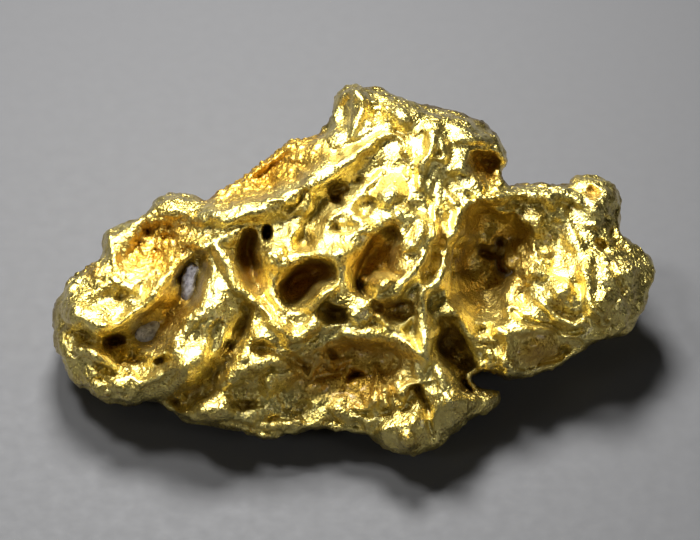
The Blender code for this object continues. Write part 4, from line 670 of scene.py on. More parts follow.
def waves(seed, axes, sizes):
    """Sum of noises, each given as (wavelength, height) in mm."""
    rng = np.random.default_rng(seed)
    return sum(height * lattice_noise(rng, axes, wavelength) for wavelength, height in sizes)


def blur(field, sigma):
    """Gaussian blur of a map, sigma in cells."""
    reach = int(3 * sigma) + 1
    kernel = np.exp(-0.5 * (np.arange(-reach, reach + 1) / sigma) ** 2)
    kernel /= kernel.sum()
    for axis in (0, 1):
        padded = np.pad(field, [(reach, reach) if n == axis else (0, 0) for n in (0, 1)], mode="edge")
        size = field.shape[axis]
        field = sum(k * np.take(padded, range(i, i + size), axis=axis) for i, k in enumerate(kernel))
    return field


def sample(field, u_axis, v_axis, u, v):
    """Value of a map at any points, straight between its cells."""
    fu = np.clip((u - u_axis[0]) / (u_axis[1] - u_axis[0]), 0, len(u_axis) - 1.001)
    fv = np.clip((v - v_axis[0]) / (v_axis[1] - v_axis[0]), 0, len(v_axis) - 1.001)
    i, j = fu.astype(int), fv.astype(int)
    s, t = fu - i, fv - j
    return ((field[i, j] * (1 - s) + field[i + 1, j] * s) * (1 - t)
            + (field[i, j + 1] * (1 - s) + field[i + 1, j + 1] * s) * t)


def blown_membrane(inside, cell):
    """Height h of a membrane blown up over the inside cells, laplace(h) = -1, by conjugate gradients."""
    def stiffness(x):
        y = 4.0 * x
        y[1:] -= x[:-1]
        y[:-1] -= x[1:]
        y[:, 1:] -= x[:, :-1]
        y[:, :-1] -= x[:, 1:]
        return y * inside
    height = np.zeros(inside.shape)
    rest = inside * cell * cell
    path = rest.copy()
    error = first = (rest * rest).sum()
    while error > 1e-10 * first:
        pull = stiffness(path)
        step = error / (path * pull).sum()
        height += step * path
        rest = rest - step * pull
        error, last = (rest * rest).sum(), error
        path = rest + (error / last) * path
    return height


# ---- the broad face ---------------------------------------------------------------------------
class Face:
    """The broad face as a map over (u, v), with the forms laid out on it."""

    def __init__(self, u_axis, v_axis):
        self.u_axis = u_axis
        self.v_axis = v_axis
        self.u, self.v = np.meshgrid(u_axis, v_axis, indexing="ij")
        loop = spline(to_face(OUTLINE), True, 3)
        inside = inside_loop(self.u, self.v, loop)
        edge = line_distance(self.u, self.v, np.vstack([loop, loop[:1]]))[0]
        self.inward = np.where(inside, edge, -edge)
        self.radius = self.section_radius(loop)
        self.fade = ease(self.inward, 0.0, EDGE_FADE)
        axes = (u_axis, v_axis)
        self.warp_u = waves(5, axes, WARP)
        self.warp_v = waves(6, axes, WARP)

    def section_radius(self, loop):
        """Height of a body of round section over the outline: sqrt(2 h) of the blown membrane."""
        cell = MEMBRANE_CELL
        u_axis = np.arange(*MEMBRANE_U, cell)
        v_axis = np.arange(*MEMBRANE_V, cell)
        u, v = np.meshgrid(u_axis, v_axis, indexing="ij")
        inside = inside_loop(u, v, loop)
        depth = np.where(inside, line_distance(u, v, np.vstack([loop, loop[:1]]))[0], 0.0)
        height = blown_membrane(inside.astype(float), cell)
        sure = (depth > 1.2 * cell).astype(float)
        steepness = blur(height * sure, 2.0) / np.maximum(blur(depth * sure, 2.0), 1e-4)
        steepness = blur(sample(steepness, u_axis, v_axis, self.u, self.v), 1.5)
        return np.sqrt(2.0 * steepness * np.maximum(self.inward, 0.0))

    def worn(self, relief):
        """The relief with its tips worn down: no point stands far above the mean height around it."""
        mean = blur(relief, WORN_SPAN / (self.u_axis[1] - self.u_axis[0]))
        tip = relief - mean
        return mean + np.where(tip > 0.0, limit(np.maximum(tip, 0.0), WORN_TIP), tip)

    def window(self, low, high):
        """The part of the map between two corners."""
        return (slice(*np.searchsorted(self.u_axis, (low[0], high[0]))),
                slice(*np.searchsorted(self.v_axis, (low[1], high[1]))))

    def oval(self, place, radii, turn, power, lean=(0.0, 0.0)):
        """(1 - r^2) ** power inside the oval r = 1, leaning to a side, and the window that holds it."""
        centre = to_face([place])[0]
        reach = max(radii) + MARGIN
        window = self.window(centre - reach, centre + reach)
        du = self.u[window] + self.warp_u[window] - centre[0]
        dv = self.v[window] + self.warp_v[window] - centre[1]
        c, s = math.cos(math.radians(turn)), math.sin(math.radians(turn))
        p = (du * c + dv * s) / radii[0]
        q = (dv * c - du * s) / radii[1]
        return window, np.maximum(1.0 - p * p - q * q, 0.0) ** power * (1.0 + lean[0] * p + lean[1] * q)

    def stroke(self, width, path, power):
        """scale * (1 - (d / width)^2) ** power at distance d from the path, and its window."""
        line = spline(to_face([(*p, 1.0)[:3] for p in path]), False, 4)
        reach = WIDEST * width + MARGIN
        window = self.window(line[:, :2].min(0) - reach, line[:, :2].max(0) + reach)
        u = self.u[window] + self.warp_u[window]
        v = self.v[window] + self.warp_v[window]
        distance, along = line_distance(u, v, line)
        i = np.minimum(along.astype(int), len(line) - 2)
        scale = line[i, 2] + (line[i + 1, 2] - line[i, 2]) * (along - i)
        return window, np.maximum(1.0 - (distance / (width * scale)) ** 2, 0.0) ** power * scale

    def relief(self, courses):
        """Height of the forms over the plain skin: each course's rises and hollows, added in turn."""
        relief = np.zeros_like(self.u)
        for course in courses:
            up = np.zeros_like(relief)
            down = np.zeros_like(relief)
            for kind, rise, *shape in course:
                window, form = self.oval(*shape) if kind == "oval" else self.stroke(*shape)
                target = up if rise > 0 else down
                target[window] = smooth_max(target[window], form * abs(rise), BLEND)
            relief += up - down
        return blur(relief, SOFTENING / (self.u_axis[1] - self.u_axis[0]))

    def skins(self):
        """Heights w of the front and back skins. They meet in the outline's own curved plane."""
        middle = MID_SLOPE * self.v + MID_DROP + MID_DROOP * (self.u / 10.0) ** 2
        rough = waves(11, (self.u_axis, self.v_axis), FRONT_NOISE)
        rough += self.knots(*FRONT_KNOTS)
        reach = BACK_REACH_MAIN + (BACK_REACH_RIGHT - BACK_REACH_MAIN) * ease(self.u, *RIGHT_LOBE)
        reach = reach + (BACK_REACH_LEFT - BACK_REACH_MAIN) * ease(-self.u, *LEFT_LOBE)
        behind = limit(BACK_FULLNESS * self.radius, reach)
        forms = self.worn(self.relief(COURSES))
        front = middle + limit(self.radius, FRONT_BULGE) + (forms + rough) * self.fade
        front = smooth_max(front, middle - DEEPEST * behind + 1.5 * rough, SKIN_BLEND)
        back = middle - behind - self.knots(*BACK_KNOTS) * self.fade
        place, radius, depth = HOLE_BACK
        window, form = self.oval(place, (radius, radius), 0.0, 1.0)
        back[window] = np.minimum(back[window] + depth * form, front[window] - WALL)
        return front, back

    def knots(self, seed, count, sizes, rises):
        """Lumps and dents at random over the map: their sizes in mm, and their rises as shares of it."""
        rng = np.random.default_rng(seed)
        knots = np.zeros_like(self.u)
        for _ in range(count):
            place = [rng.uniform(*span) for span in MAP_SPAN]
            size = rng.uniform(*sizes)
            flat = rng.uniform(0.5, 1.0)
            window, form = self.oval(place, (size, size * flat), rng.uniform(0, 180), 1.2)
            knots[window] += form * size * rises[int(rng.uniform() < DENT_SHARE)]
        return knots


# ---- the body as a field ----------------------------------------------------------------------
def slope_of(height, face):
    """Length of the skin's normal (du, dv, 1), so that a height difference becomes a distance."""
    du, dv = np.gradient(height, face.u_axis, face.v_axis)
    return np.sqrt(1.0 + np.minimum(du * du + dv * dv, STEEPEST ** 2))


def body_field(cell):
    """The nugget's field over a grid in x, y and z, negative inside the metal.

    v depends on y + z and w on z - y alone, so each skin is looked up by the sum of the y and z
    indices. Returns the axes, the field and a function that gives the front skin's height.
    """
    x = np.arange(GRID_X[0], GRID_X[1] + cell, cell)
    y = np.arange(*GRID_Y, cell)
    # The ground z = 0 falls halfway between two layers of the grid.
    z = np.arange(-0.5 * cell + round(GRID_Z[0] / cell) * cell, GRID_Z[1], cell)
    half = math.cos(LEAN)
    v_axis = (y[0] + z[0] - LIFT + cell * np.arange(len(y) + len(z) - 1)) * half
    face = Face(x, v_axis)
    front, back = face.skins()
    diagonal = np.arange(len(y))[:, None] + np.arange(len(z))[None, :]
    w = (z[None, :] - LIFT - y[:, None]) * half
    over_front = (w[None] - front[:, diagonal]) / slope_of(front, face)[:, diagonal]
    under_back = (back[:, diagonal] - w[None]) / slope_of(back, face)[:, diagonal]
    field = np.maximum(np.maximum(over_front, under_back), -face.inward[:, diagonal])
    field = smooth_max(field, underside(x, y)[:, :, None] - z, UNDERSIDE_BLEND)
    lumps = waves(41, (x, y, z), FLANK_NOISE)
    field += lumps * ease(-over_front, *FLANK_FADE) * ease(z, *GROUND_FADE)
    columns = slice(*np.searchsorted(x, HOLE_COLUMNS))
    aslant = x[columns, None, None] + HOLE_SLANT * (w[None] - HOLE_DEPTH)
    v = np.broadcast_to(v_axis[diagonal][None], aslant.shape)
    for line in HOLE_LINES:
        hole = HOLE_RADIUS - line_distance(aslant, v, to_face(line))[0]
        field[columns] = np.maximum(field[columns], hole)
    for grain in GRAINS.values():
        field = np.maximum(field, GRAIN_GAP - grain_distance(grain, front, face, x, y, z))
    for axis in range(3):
        rim = np.moveaxis(field, axis, 0)
        rim[:2] = np.maximum(rim[:2], cell)
        rim[-2:] = np.maximum(rim[-2:], cell)
    return (x, y, z), field, face, front


def underside(x, y):
    """Height of the underside over the ground, with the worn rests reaching through z = 0."""
    x_grid, y_grid = np.meshgrid(x, y, indexing="ij")
    height = UNDERSIDE_HEIGHT + waves(31, (x, y), UNDERSIDE_NOISE)
    for rest_x, rest_y, radius in RESTS:
        away = ((x_grid - rest_x) ** 2 + (y_grid - rest_y) ** 2) / radius ** 2
        height -= REST_DEPTH * np.exp(-REST_FALL * away)
    return np.maximum(height, BELOW_GROUND)


def grain_axes(turn):
    """The three axes of a grain turned by so many degrees on the face, as rows in x, y and z."""
    c, s = math.cos(math.radians(turn)), math.sin(math.radians(turn))
    origin = np.array(to_space(0.0, 0.0, 0.0))
    ways = ((c, s, 0.0), (-s, c, 0.0), (0.0, 0.0, 1.0))
    return np.array([np.array(to_space(*way)) - origin for way in ways])


def grain_distance(grain, front, face, x, y, z):
    """Roughly the distance to the grain's oval: (r - 1) times its mean radius along the way."""
    place, radii, turn, depth = grain
    u, v = to_face([place])[0]
    w = sample(front, face.u_axis, face.v_axis, np.array([u]), np.array([v]))[0] - depth
    middle = to_space(u, v, w)
    offsets = (x[:, None, None] - middle[0], y[None, :, None] - middle[1], z[None, None, :] - middle[2])
    r2 = 0.0
    g2 = 0.0
    for axis, radius in zip(grain_axes(turn), radii):
        along = sum(o * c for o, c in zip(offsets, axis))
        r2 = r2 + (along / radius) ** 2
        g2 = g2 + (along / radius ** 2) ** 2
    return (r2 - 1.0) * 0.5 * np.sqrt(r2) / np.maximum(np.sqrt(g2), 1e-6)


# ---- from field to mesh -----------------------------------------------------------------------
CORNERS = np.array([(n & 1, n >> 1 & 1, n >> 2 & 1) for n in range(8)])


def split_patterns():
    """For each of the 256 corner patterns of a cell: whether its inside or outside falls in two."""
    split = np.zeros(256, bool)
    for pattern in range(256):
        for side in (0, 1):
            members = [n for n in range(8) if (pattern >> n & 1) == side]
            reached = set(members[:1])
            for _ in members:
                reached |= {m for m in members if any(np.abs(CORNERS[m] - CORNERS[n]).sum() == 1
                                                      for n in reached)}
            split[pattern] |= len(reached) < len(members)
    return split


def corner_patterns(inside):
    """For each cell of the grid, which of its 8 corners are inside, as bits."""
    pattern = np.zeros([size - 1 for size in inside.shape], np.uint8)
    for n, corner in enumerate(CORNERS):
        window = tuple(slice(c, size - 1 + c) for c, size in zip(corner, inside.shape))
        pattern |= inside[window].astype(np.uint8) << n
    return pattern


def part_pinches(field, offset):
    """Change the field where the skin would touch itself, so that it stays one plain closed surface.

    In each such cell one corner changes sides: the one that leaves the fewest such cells round it,
    and among those the one nearest the skin.
    """
    split = split_patterns()
    inside = field < 0
    while True:
        pinched = np.argwhere(split[corner_patterns(inside)])
        if not len(pinched):
            return
        for cell in pinched:
            if not split[corner_patterns(inside[tuple(slice(c, c + 2) for c in cell)])].any():
                continue
            choices = []
            for corner in CORNERS:
                at = tuple(int(c) for c in cell + corner)
                block = inside[tuple(slice(c - 1, c + 2) for c in at)]
                block[1, 1, 1] = not block[1, 1, 1]
                left = int(split[corner_patterns(block)].sum())
                block[1, 1, 1] = not block[1, 1, 1]
                choices.append((left, abs(float(field[at])), at))
            at = min(choices)[2]
            inside[at] = not inside[at]
            field[at] = -offset if inside[at] else offset


def zero_level(field, origin, cell):
    """Surface nets: a point in each cell that the zero level crosses, a quad round each crossed edge."""
    inside = field < 0
    rings, spots, outward = [], [], []
    for axis in range(3):
        ahead, side_b, side_c = (np.eye(3, dtype=int)[(axis + n) % 3] for n in range(3))
        low = tuple(slice(0, size - step) for size, step in zip(field.shape, ahead))
        high = tuple(slice(step, size) for size, step in zip(field.shape, ahead))
        at = np.argwhere(inside[low] != inside[high])
        start = field[tuple(at.T)]
        end = field[tuple((at + ahead).T)]
        spots.append(at + (start / (start - end))[:, None] * ahead)
        rings.append(np.stack([np.ravel_multi_index((at - p * side_b - q * side_c).T, field.shape)
                               for p, q in ((0, 0), (1, 0), (1, 1), (0, 1))], axis=1))
        outward.append(start < 0)
    rings, outward = np.concatenate(rings), np.concatenate(outward)
    spots = np.repeat(np.concatenate(spots), 4, axis=0)
    index = np.unique(rings, return_inverse=True)[1].ravel()
    points = np.stack([np.bincount(index, spots[:, k]) for k in range(3)], axis=1)
    points /= np.bincount(index)[:, None]
    faces = index.reshape(-1, 4)
    faces = np.where(outward[:, None], faces, faces[:, ::-1])
    return origin + points * cell, faces


def largest_shell(points, faces):
    """The biggest connected surface alone, without crumbs."""
    label = np.arange(len(points))
    pairs = np.concatenate([faces[:, (0, 1)], faces[:, (1, 2)], faces[:, (2, 3)]])
    while True:
        ends = label[pairs]
        low = ends.min(axis=1)
        new = label.copy()
        np.minimum.at(new, ends[:, 0], low)
        np.minimum.at(new, ends[:, 1], low)
        new = new[new]
        if (new == label).all():
            break
        label = new
    names, sizes = np.unique(label, return_counts=True)
    keep = label == names[np.argmax(sizes)]
    renumber = np.cumsum(keep) - 1
    return points[keep], renumber[faces[keep[faces[:, 0]]]]


# ---- the gold's surface -----------------------------------------------------------------------
# What roughens the skin: sizes in mm, with shares of the settings' heights.
LUMP_LAYERS = ((0.62, 1.0), (0.33, 0.6), (0.17, 0.45))    # lumps: wavelength and share
SMOOTH_SHARE = 0.75              # smooth zones lose this share of lumps and dents
RIM_SHARE = 1.3                  # and the rim has this much more of the lumps
DENT_SPACING = 0.55
BEAD_SPACING = 0.19
KNOB_SPACING = 0.3
KNOB_RISE = 1.3                  # knobs against the beads
CRINKLES = (0.34, 2.0, 1.0)      # flakes: wavelength, sharpness and share
FINE_CRINKLES = (0.2, 2.2, 0.6)
CRINKLE_FLOOR = -0.3             # the lowest that lies between two crinkles
REST_HEIGHT = 0.35               # below this the skin grows plain, so that the rests stay flat
NOISE_LATTICE = 48               # the noise repeats after so many wavelengths
SEED_LATTICE = 24                # and the seeds after so many spacings


def space_noise(points, wavelength, seed):
    """Smooth noise at the points, -1 to 1: random values on a cubic lattice, eased between."""
    lattice = np.random.default_rng(seed).uniform(-1.0, 1.0, [NOISE_LATTICE] * 3)
    place = points / wavelength
    corner = np.floor(place).astype(int)
    t = ease(place - corner, 0.0, 1.0)
    total = np.zeros(len(points))
    for way in CORNERS:
        i, j, k = ((corner + way) % NOISE_LATTICE).T
        total += lattice[i, j, k] * np.where(way, t, 1.0 - t).prod(axis=1)
    return total


def nearest_seeds(points, size, seed):
    """Distance to the nearest of the seeds, one placed at random in each cube of the size, in sizes.

    The second array is a random number that belongs to the nearest seed.
    """
    rng = np.random.default_rng(seed)
    jitter = rng.uniform(0.1, 0.9, [SEED_LATTICE] * 3 + [3])
    own = rng.uniform(0.0, 1.0, [SEED_LATTICE] * 3)
    place = points / size
    corner = np.floor(place).astype(int)
    best = np.full(len(points), 9.0)
    number = np.zeros(len(points))
    for way in np.ndindex(3, 3, 3):
        cell = corner + np.array(way) - 1
        i, j, k = (cell % SEED_LATTICE).T
        distance = np.linalg.norm(cell + jitter[i, j, k] - place, axis=1)
        closer = distance < best
        best = np.where(closer, distance, best)
        number = np.where(closer, own[i, j, k], number)
    return best, number


def outward_normals(points, faces):
    """Unit normal at each point, the mean of its quads' normals by area."""
    quads = np.cross(points[faces[:, 2]] - points[faces[:, 0]], points[faces[:, 3]] - points[faces[:, 1]])
    total = np.zeros_like(points)
    for corner in range(4):
        for axis in range(3):
            total[:, axis] += np.bincount(faces[:, corner], quads[:, axis], len(points))
    return total / np.maximum(np.linalg.norm(total, axis=1), 1e-12)[:, None]


def face_place(points):
    """Face coordinates u, v and w of points in the field's own x, y and z."""
    half = math.cos(LEAN)
    up = points[:, 2] - LIFT
    return points[:, 0], (points[:, 1] + up) * half, (up - points[:, 1]) * half


class Zones:
    """How far each point of the skin has each kind of surface, 0 to 1, read off the face map."""

    def __init__(self, face, front):
        self.face = face
        self.front = front
        cell = face.u_axis[1] - face.u_axis[0]
        self.maps = {name: np.clip(face.relief([zone]), 0.0, 1.0) for name, zone in ZONES.items()}
        # This map of how far the skin lies below its mean height around sets the painted shade in the
        # gold's colour.
        self.maps["hollow"] = ease(blur(front, HOLLOW_SPAN / cell) - front, *HOLLOW_DEPTHS)

    def at(self, name, points):
        """The zone's strength at the points, fading out behind the front skin."""
        u, v, w = face_place(points)
        axes = (self.face.u_axis, self.face.v_axis)
        depth = sample(self.front, *axes, u, v) - w
        return sample(self.maps[name], *axes, u, v) * (1.0 - ease(depth, *ZONE_FADE))

    def rim(self, points):
        """1 at the nugget's rim as the face map shows it, 0 further in."""
        u, v, _ = face_place(points)
        inward = sample(self.face.inward, self.face.u_axis, self.face.v_axis, u, v)
        return 1.0 - ease(inward, *RIM)


def domes(away, reach):
    """Round bumps, 1 at their seeds and 0 from the reach on."""
    return np.maximum(1.0 - (away / reach) ** 2, 0.0)


def crinkled(points, wavelength, sharpness, share, seed):
    """Creased folds: sharp where the noise crosses 0."""
    crest = 1.0 - sharpness * np.abs(space_noise(points, wavelength, seed))
    return share * np.maximum(crest, CRINKLE_FLOOR)


def roughened(points, faces, zones, settings):
    """The points moved along their normals: lumps, dents, beads, knobs and flakes, by zone."""
    plain = 1.0 - SMOOTH_SHARE * zones.at("smooth", points)
    grainy = zones.at("grainy", points)
    lumps = sum(share * space_noise(points, wavelength, seed)
                for seed, (wavelength, share) in enumerate(LUMP_LAYERS, start=101))
    move = settings.lump_height * (plain + RIM_SHARE * zones.rim(points)) * lumps
    away, number = nearest_seeds(points, DENT_SPACING, 104)
    move -= settings.dent_depth * plain * (domes(away, 0.5) * (number < 0.45))
    away, number = nearest_seeds(points, BEAD_SPACING, 105)
    move += settings.bead_height * (np.sqrt(domes(away, 0.55)) * (0.4 + number)) * grainy
    away, number = nearest_seeds(points, KNOB_SPACING, 106)
    move += settings.bead_height * KNOB_RISE * domes(away, 0.5) * (number < 0.5) * grainy
    flakes = crinkled(points, *CRINKLES, 107) + crinkled(points, *FINE_CRINKLES, 108)
    move += settings.flake_height * zones.at("flaky", points) * flakes
    move *= ease(points[:, 2], 0.0, REST_HEIGHT)
    return points + outward_normals(points, faces) * move[:, None]


def set_number(mesh, name, values):
    """Keep one number for each of the mesh's points under this name, for its material."""
    mesh.attributes.new(name, "FLOAT", "POINT").data.foreach_set("value", values.astype(np.float32))


def mesh_points(mesh):
    """Places of the mesh's points, one to a row."""
    spots = np.empty(len(mesh.vertices) * 3)
    mesh.vertices.foreach_get("co", spots)
    return spots.reshape(-1, 3)


def place_mesh(mesh, spots):
    """Move the mesh's points to these places."""
    mesh.vertices.foreach_set("co", spots.ravel())
    mesh.update()


def put_in_scene(name, mesh, finish):
    """An object at the origin that holds the mesh, with its finish, riding on the part's one body."""
    mesh.name = name
    mesh.materials.clear()
    mesh.materials.append(finish)
    mesh.shade_smooth()
    made = bpy.data.objects.new(name, mesh)
    bpy.context.scene.collection.objects.link(made)
    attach(made, "root")
    return made


def thinned(points, faces, triangles):
    """The surface as a mesh of about so many triangles, by Blender's Decimate modifier."""
    dense = bpy.data.meshes.new("dense")
    dense.from_pydata(points.tolist(), [], faces.tolist())
    holder = bpy.data.objects.new("dense", dense)
    bpy.context.scene.collection.objects.link(holder)
    decimate = holder.modifiers.new("Decimate", "DECIMATE")
    decimate.ratio = triangles / (2 * len(faces))
    holder_now = holder.evaluated_get(bpy.context.evaluated_depsgraph_get())
    mesh = bpy.data.meshes.new_from_object(holder_now)
    bpy.data.objects.remove(holder)
    bpy.data.meshes.remove(dense)
    return mesh


# ---- finishes ---------------------------------------------------------------------------------
def linear(hex_colour):
    """Linear RGBA of an sRGB colour written #RRGGBB."""
    srgb = [int(hex_colour[n:n + 2], 16) / 255.0 for n in (1, 3, 5)]
    return (*[c / 12.92 if c <= 0.04045 else ((c + 0.055) / 1.055) ** 2.4 for c in srgb], 1.0)


def add_node(tree, kind, links=None, **settings):
    """A node of this kind. A setting is one of its properties or the value of one of its inputs."""
    node = tree.nodes.new(kind)
    for name, value in settings.items():
        if hasattr(node, name):
            setattr(node, name, value)
        else:
            node.inputs[name.replace("_", " ")].default_value = value
    for name, socket in (links or {}).items():
        tree.links.new(socket, node.inputs[name])
    return node


def colour_mix(tree, factor, first, second, way="MIX"):
    """Mix of two colours, each a socket or an #RRGGBB string, by a factor socket."""
    node = tree.nodes.new("ShaderNodeMix")
    node.data_type = "RGBA"
    node.blend_type = way
    tree.links.new(factor, node.inputs[0])
    # The node's colours are its inputs 6 and 7 and its output 2.
    for socket, colour in ((node.inputs[6], first), (node.inputs[7], second)):
        if isinstance(colour, str):
            socket.default_value = linear(colour)
        else:
            tree.links.new(colour, socket)
    return node.outputs[2]


def remap(tree, socket, low, high, new_low=0.0, new_high=1.0):
    """The socket's low to high range, laid over a new range and held inside it."""
    node = add_node(tree, "ShaderNodeMapRange", {"Value": socket})
    for name, value in (("From Min", low), ("From Max", high), ("To Min", new_low), ("To Max", new_high)):
        node.inputs[name].default_value = value
    return node.outputs["Result"]


def new_material(name):
    """A material with a Principled shader, its tree and the object coordinates in metres."""
    made = bpy.data.materials.new(name)
    made.use_nodes = True
    tree = made.node_tree
    shader = tree.nodes["Principled BSDF"]
    place = add_node(tree, "ShaderNodeTexCoord").outputs["Object"]
    return made, tree, shader, place


def noise(tree, place, size_mm, detail=2.0, rough=0.5):
    """Noise whose features are about so many mm across, 0 to 1."""
    node = add_node(tree, "ShaderNodeTexNoise", {"Vector": place}, Detail=detail, Roughness=rough)
    node.inputs["Scale"].default_value = 1.0 / (size_mm * MM)
    return node.outputs["Fac"]


def combine(tree, operation, first, second):
    """Two sockets added, or multiplied, as the operation says."""
    return add_node(tree, "ShaderNodeMath", {0: first, 1: second}, operation=operation).outputs[0]


def bump(tree, height, distance, under=None, invert=False):
    """Normal of a skin raised by the height socket over so many metres, on top of another normal."""
    links = {"Height": height} if under is None else {"Height": height, "Normal": under}
    node = add_node(tree, "ShaderNodeBump", links, invert=invert, Strength=1.0, Distance=distance)
    return node.outputs["Normal"]


def native_gold(settings):
    """Satin native gold: pale, with painted shade in its hollows and fine pits, amber stain in places,
    and a fine grained skin.
    """
    made, tree, shader, place = new_material("native_gold_satin")
    hollow = add_node(tree, "ShaderNodeAttribute", attribute_name="hollow").outputs["Fac"]
    amber = add_node(tree, "ShaderNodeAttribute", attribute_name="amber").outputs["Fac"]
    # Broad patches where the silver-rich skin is paler or duller.
    patches = remap(tree, noise(tree, place, 1.3, 3.0), 0.35, 0.65)
    worn = colour_mix(tree, patches, "#F8E68C", "#EDD46F")
    # Painted shade: the colour darkens towards #96762A where the skin lies low in a hollow.
    with_painted_shade = colour_mix(tree, remap(tree, hollow, 0.0, 1.0, 0.0, 0.85), worn, "#96762A")
    # The amber stain goes over the painted shade.
    shade_and_stain = colour_mix(tree, remap(tree, amber, 0.0, 1.0, 0.0, 0.85), with_painted_shade, "#CC9C22")
    # Painted shade of pits too fine for the mesh: fine dark specks, strong in some patches and faint in
    # others.
    pits = remap(tree, noise(tree, place, 0.085, 2.5, 0.7), 0.36, 0.5, 1.0, 0.0)
    speck_strength = remap(tree, noise(tree, place, 0.7, 2.0), 0.42, 0.58, 0.15, 1.0)
    pit_shade = combine(tree, "MULTIPLY", pits, speck_strength)
    tree.links.new(colour_mix(tree, pit_shade, shade_and_stain, "#B79A5C", "MULTIPLY"), shader.inputs["Base Color"])
    shader.inputs["Metallic"].default_value = 1.0
    # A trace of clear film from handling whitens the brightest glints.
    shader.inputs["Coat Weight"].default_value = 0.7
    shader.inputs["Coat Roughness"].default_value = 0.25
    # Polished tops among duller grain; the amber film is duller still.
    grain = noise(tree, place, 0.08, 3.0, 0.6)
    polish = remap(tree, grain, 0.3, 0.7, 0.24, 0.42)
    dulled = combine(tree, "ADD", polish, remap(tree, amber, 0.0, 1.0, 0.0, 0.16))
    tree.links.new(dulled, shader.inputs["Roughness"])
    # The grained skin: cells a tenth of a millimetre across and dust-fine pitting on them.
    cells = add_node(tree, "ShaderNodeTexVoronoi", {"Vector": place}, feature="SMOOTH_F1")
    cells.inputs["Scale"].default_value = 1.0 / (0.1 * MM)
    cells.inputs["Smoothness"].default_value = 0.6
    height = settings.grain_height * MM
    beaded = bump(tree, cells.outputs["Distance"], height, invert=True)
    tree.links.new(bump(tree, grain, height, beaded), shader.inputs["Normal"])
    return made


def milky_quartz():
    """Milky quartz: grey-lilac, clouded inside, with glassy breaks."""
    made, tree, shader, place = new_material("milky_quartz")
    clouds = remap(tree, noise(tree, place, 0.22, 4.0, 0.6), 0.35, 0.65)
    tree.links.new(colour_mix(tree, clouds, "#D2CFD3", "#77737C"), shader.inputs["Base Color"])
    shader.inputs["IOR"].default_value = 1.544
    shader.inputs["Transmission Weight"].default_value = 0.25
    shader.inputs["Subsurface Weight"].default_value = 0.3
    shader.inputs["Subsurface Radius"].default_value = (0.2 * MM, 0.2 * MM, 0.22 * MM)
    shader.inputs["Subsurface Scale"].default_value = 1.0
    fine = noise(tree, place, 0.07, 3.0, 0.6)
    tree.links.new(remap(tree, fine, 0.3, 0.7, 0.18, 0.5), shader.inputs["Roughness"])
    tree.links.new(bump(tree, fine, 0.012 * MM), shader.inputs["Normal"])
    return made


def pale_floor():
    """Smooth matt board under the nugget."""
    made, tree, shader, place = new_material("studio_board")
    shader.inputs["Base Color"].default_value = linear("#626263")
    tooth = noise(tree, place, 0.5, 3.0)
    tree.links.new(remap(tree, tooth, 0.0, 1.0, 0.55, 0.7), shader.inputs["Roughness"])
    return made


# ---- quartz -----------------------------------------------------------------------------------
BREAK_DEPTHS = (0.88, 1.0)       # the broken faces lie this far out, in sizes of the grain
EDGE_POWER = 18.0                # the higher, the sharper the edges between them
CHIPS = (0.06, 0.4)              # chipping of the surface: height and wavelength
FINE_CHIPS = (0.035, 0.17)
GRAIN_LIMIT = 1.08               # nothing stands out further than this


def broken_grain(rings, breaks, seed):
    """Points of a broken lump of size one, on a grid of latitude and longitude.

    Along each direction the surface lies where the first of the random planes cuts it, rounded a
    little, and small noise chips it.
    """
    rng = np.random.default_rng(seed)
    normals = rng.normal(size=(breaks, 3))
    normals /= np.linalg.norm(normals, axis=1)[:, None]
    reach = rng.uniform(*BREAK_DEPTHS, breaks)
    latitude = (np.arange(rings) + 0.5) / rings * math.pi
    longitude = np.arange(2 * rings) / rings * math.pi
    theta, phi = (grid.ravel() for grid in np.meshgrid(latitude, longitude, indexing="ij"))
    ways = np.stack([np.sin(theta) * np.cos(phi), np.sin(theta) * np.sin(phi), np.cos(theta)], axis=1)
    slant = np.maximum(ways @ normals.T, 1e-3)
    radius = ((reach / slant) ** -EDGE_POWER).sum(axis=1) ** (-1.0 / EDGE_POWER)
    chips = sum(height * space_noise(ways, wavelength, seed + n)
                for n, (height, wavelength) in enumerate((CHIPS, FINE_CHIPS), start=60))
    radius = np.minimum(radius * (1.0 + chips), GRAIN_LIMIT)
    return ways * radius[:, None]


def globe_mesh(name, spots, rings):
    """A closed mesh over a grid of rings by 2 rings points, its two caps closed by one face each."""
    around = 2 * rings
    index = np.arange(rings * around).reshape(rings, around)
    ahead = np.roll(index, -1, axis=1)
    quads = np.stack([index[:-1], index[1:], ahead[1:], ahead[:-1]], axis=-1).reshape(-1, 4)
    mesh = bpy.data.meshes.new(name)
    mesh.from_pydata(spots.tolist(), [], quads.tolist() + [index[0].tolist(), index[-1, ::-1].tolist()])
    return mesh


# ---- studio -----------------------------------------------------------------------------------
# Lights: name, place in mm, size in mm, power as a share of the key light's.
LIGHTS = [
    ("key", (-5, 31, 54), 20, 1.0),
    ("second", (-26, 10, 54), 12, 0.33),
    ("left", (-34, -30, 26), 12, 0.03),
    ("right", (34, -30, 26), 12, 0.03),
]
WORLD_COLOUR = "#FFFFFF"
WORLD_STRENGTH = 0.008
FLOOR_REACH = 0.5                        # the floor reaches this far each way, m
LIGHTS_AIM = (0.0, 0.0, 3.0)             # the lights point here, mm
SENSOR_WIDTH = 36.0                      # mm
VIEW_WIDTH = 700.0 / 30.0                # mm across the view at the nugget
VIEW_AIM = (-0.2, 0.0, LIFT)             # point at the middle of the view, in the field's own mm


def soft_light(name, place, size, power):
    """A square soft light aimed at the nugget."""
    lamp = bpy.data.lights.new(name, "AREA")
    lamp.size = size * MM
    lamp.energy = power
    holder = bpy.data.objects.new(name, lamp)
    holder.location = Vector(place) * MM
    aim = Vector(LIGHTS_AIM) * MM - holder.location
    holder.rotation_euler = aim.to_track_quat("-Z", "Y").to_euler()
    bpy.context.scene.collection.objects.link(holder)


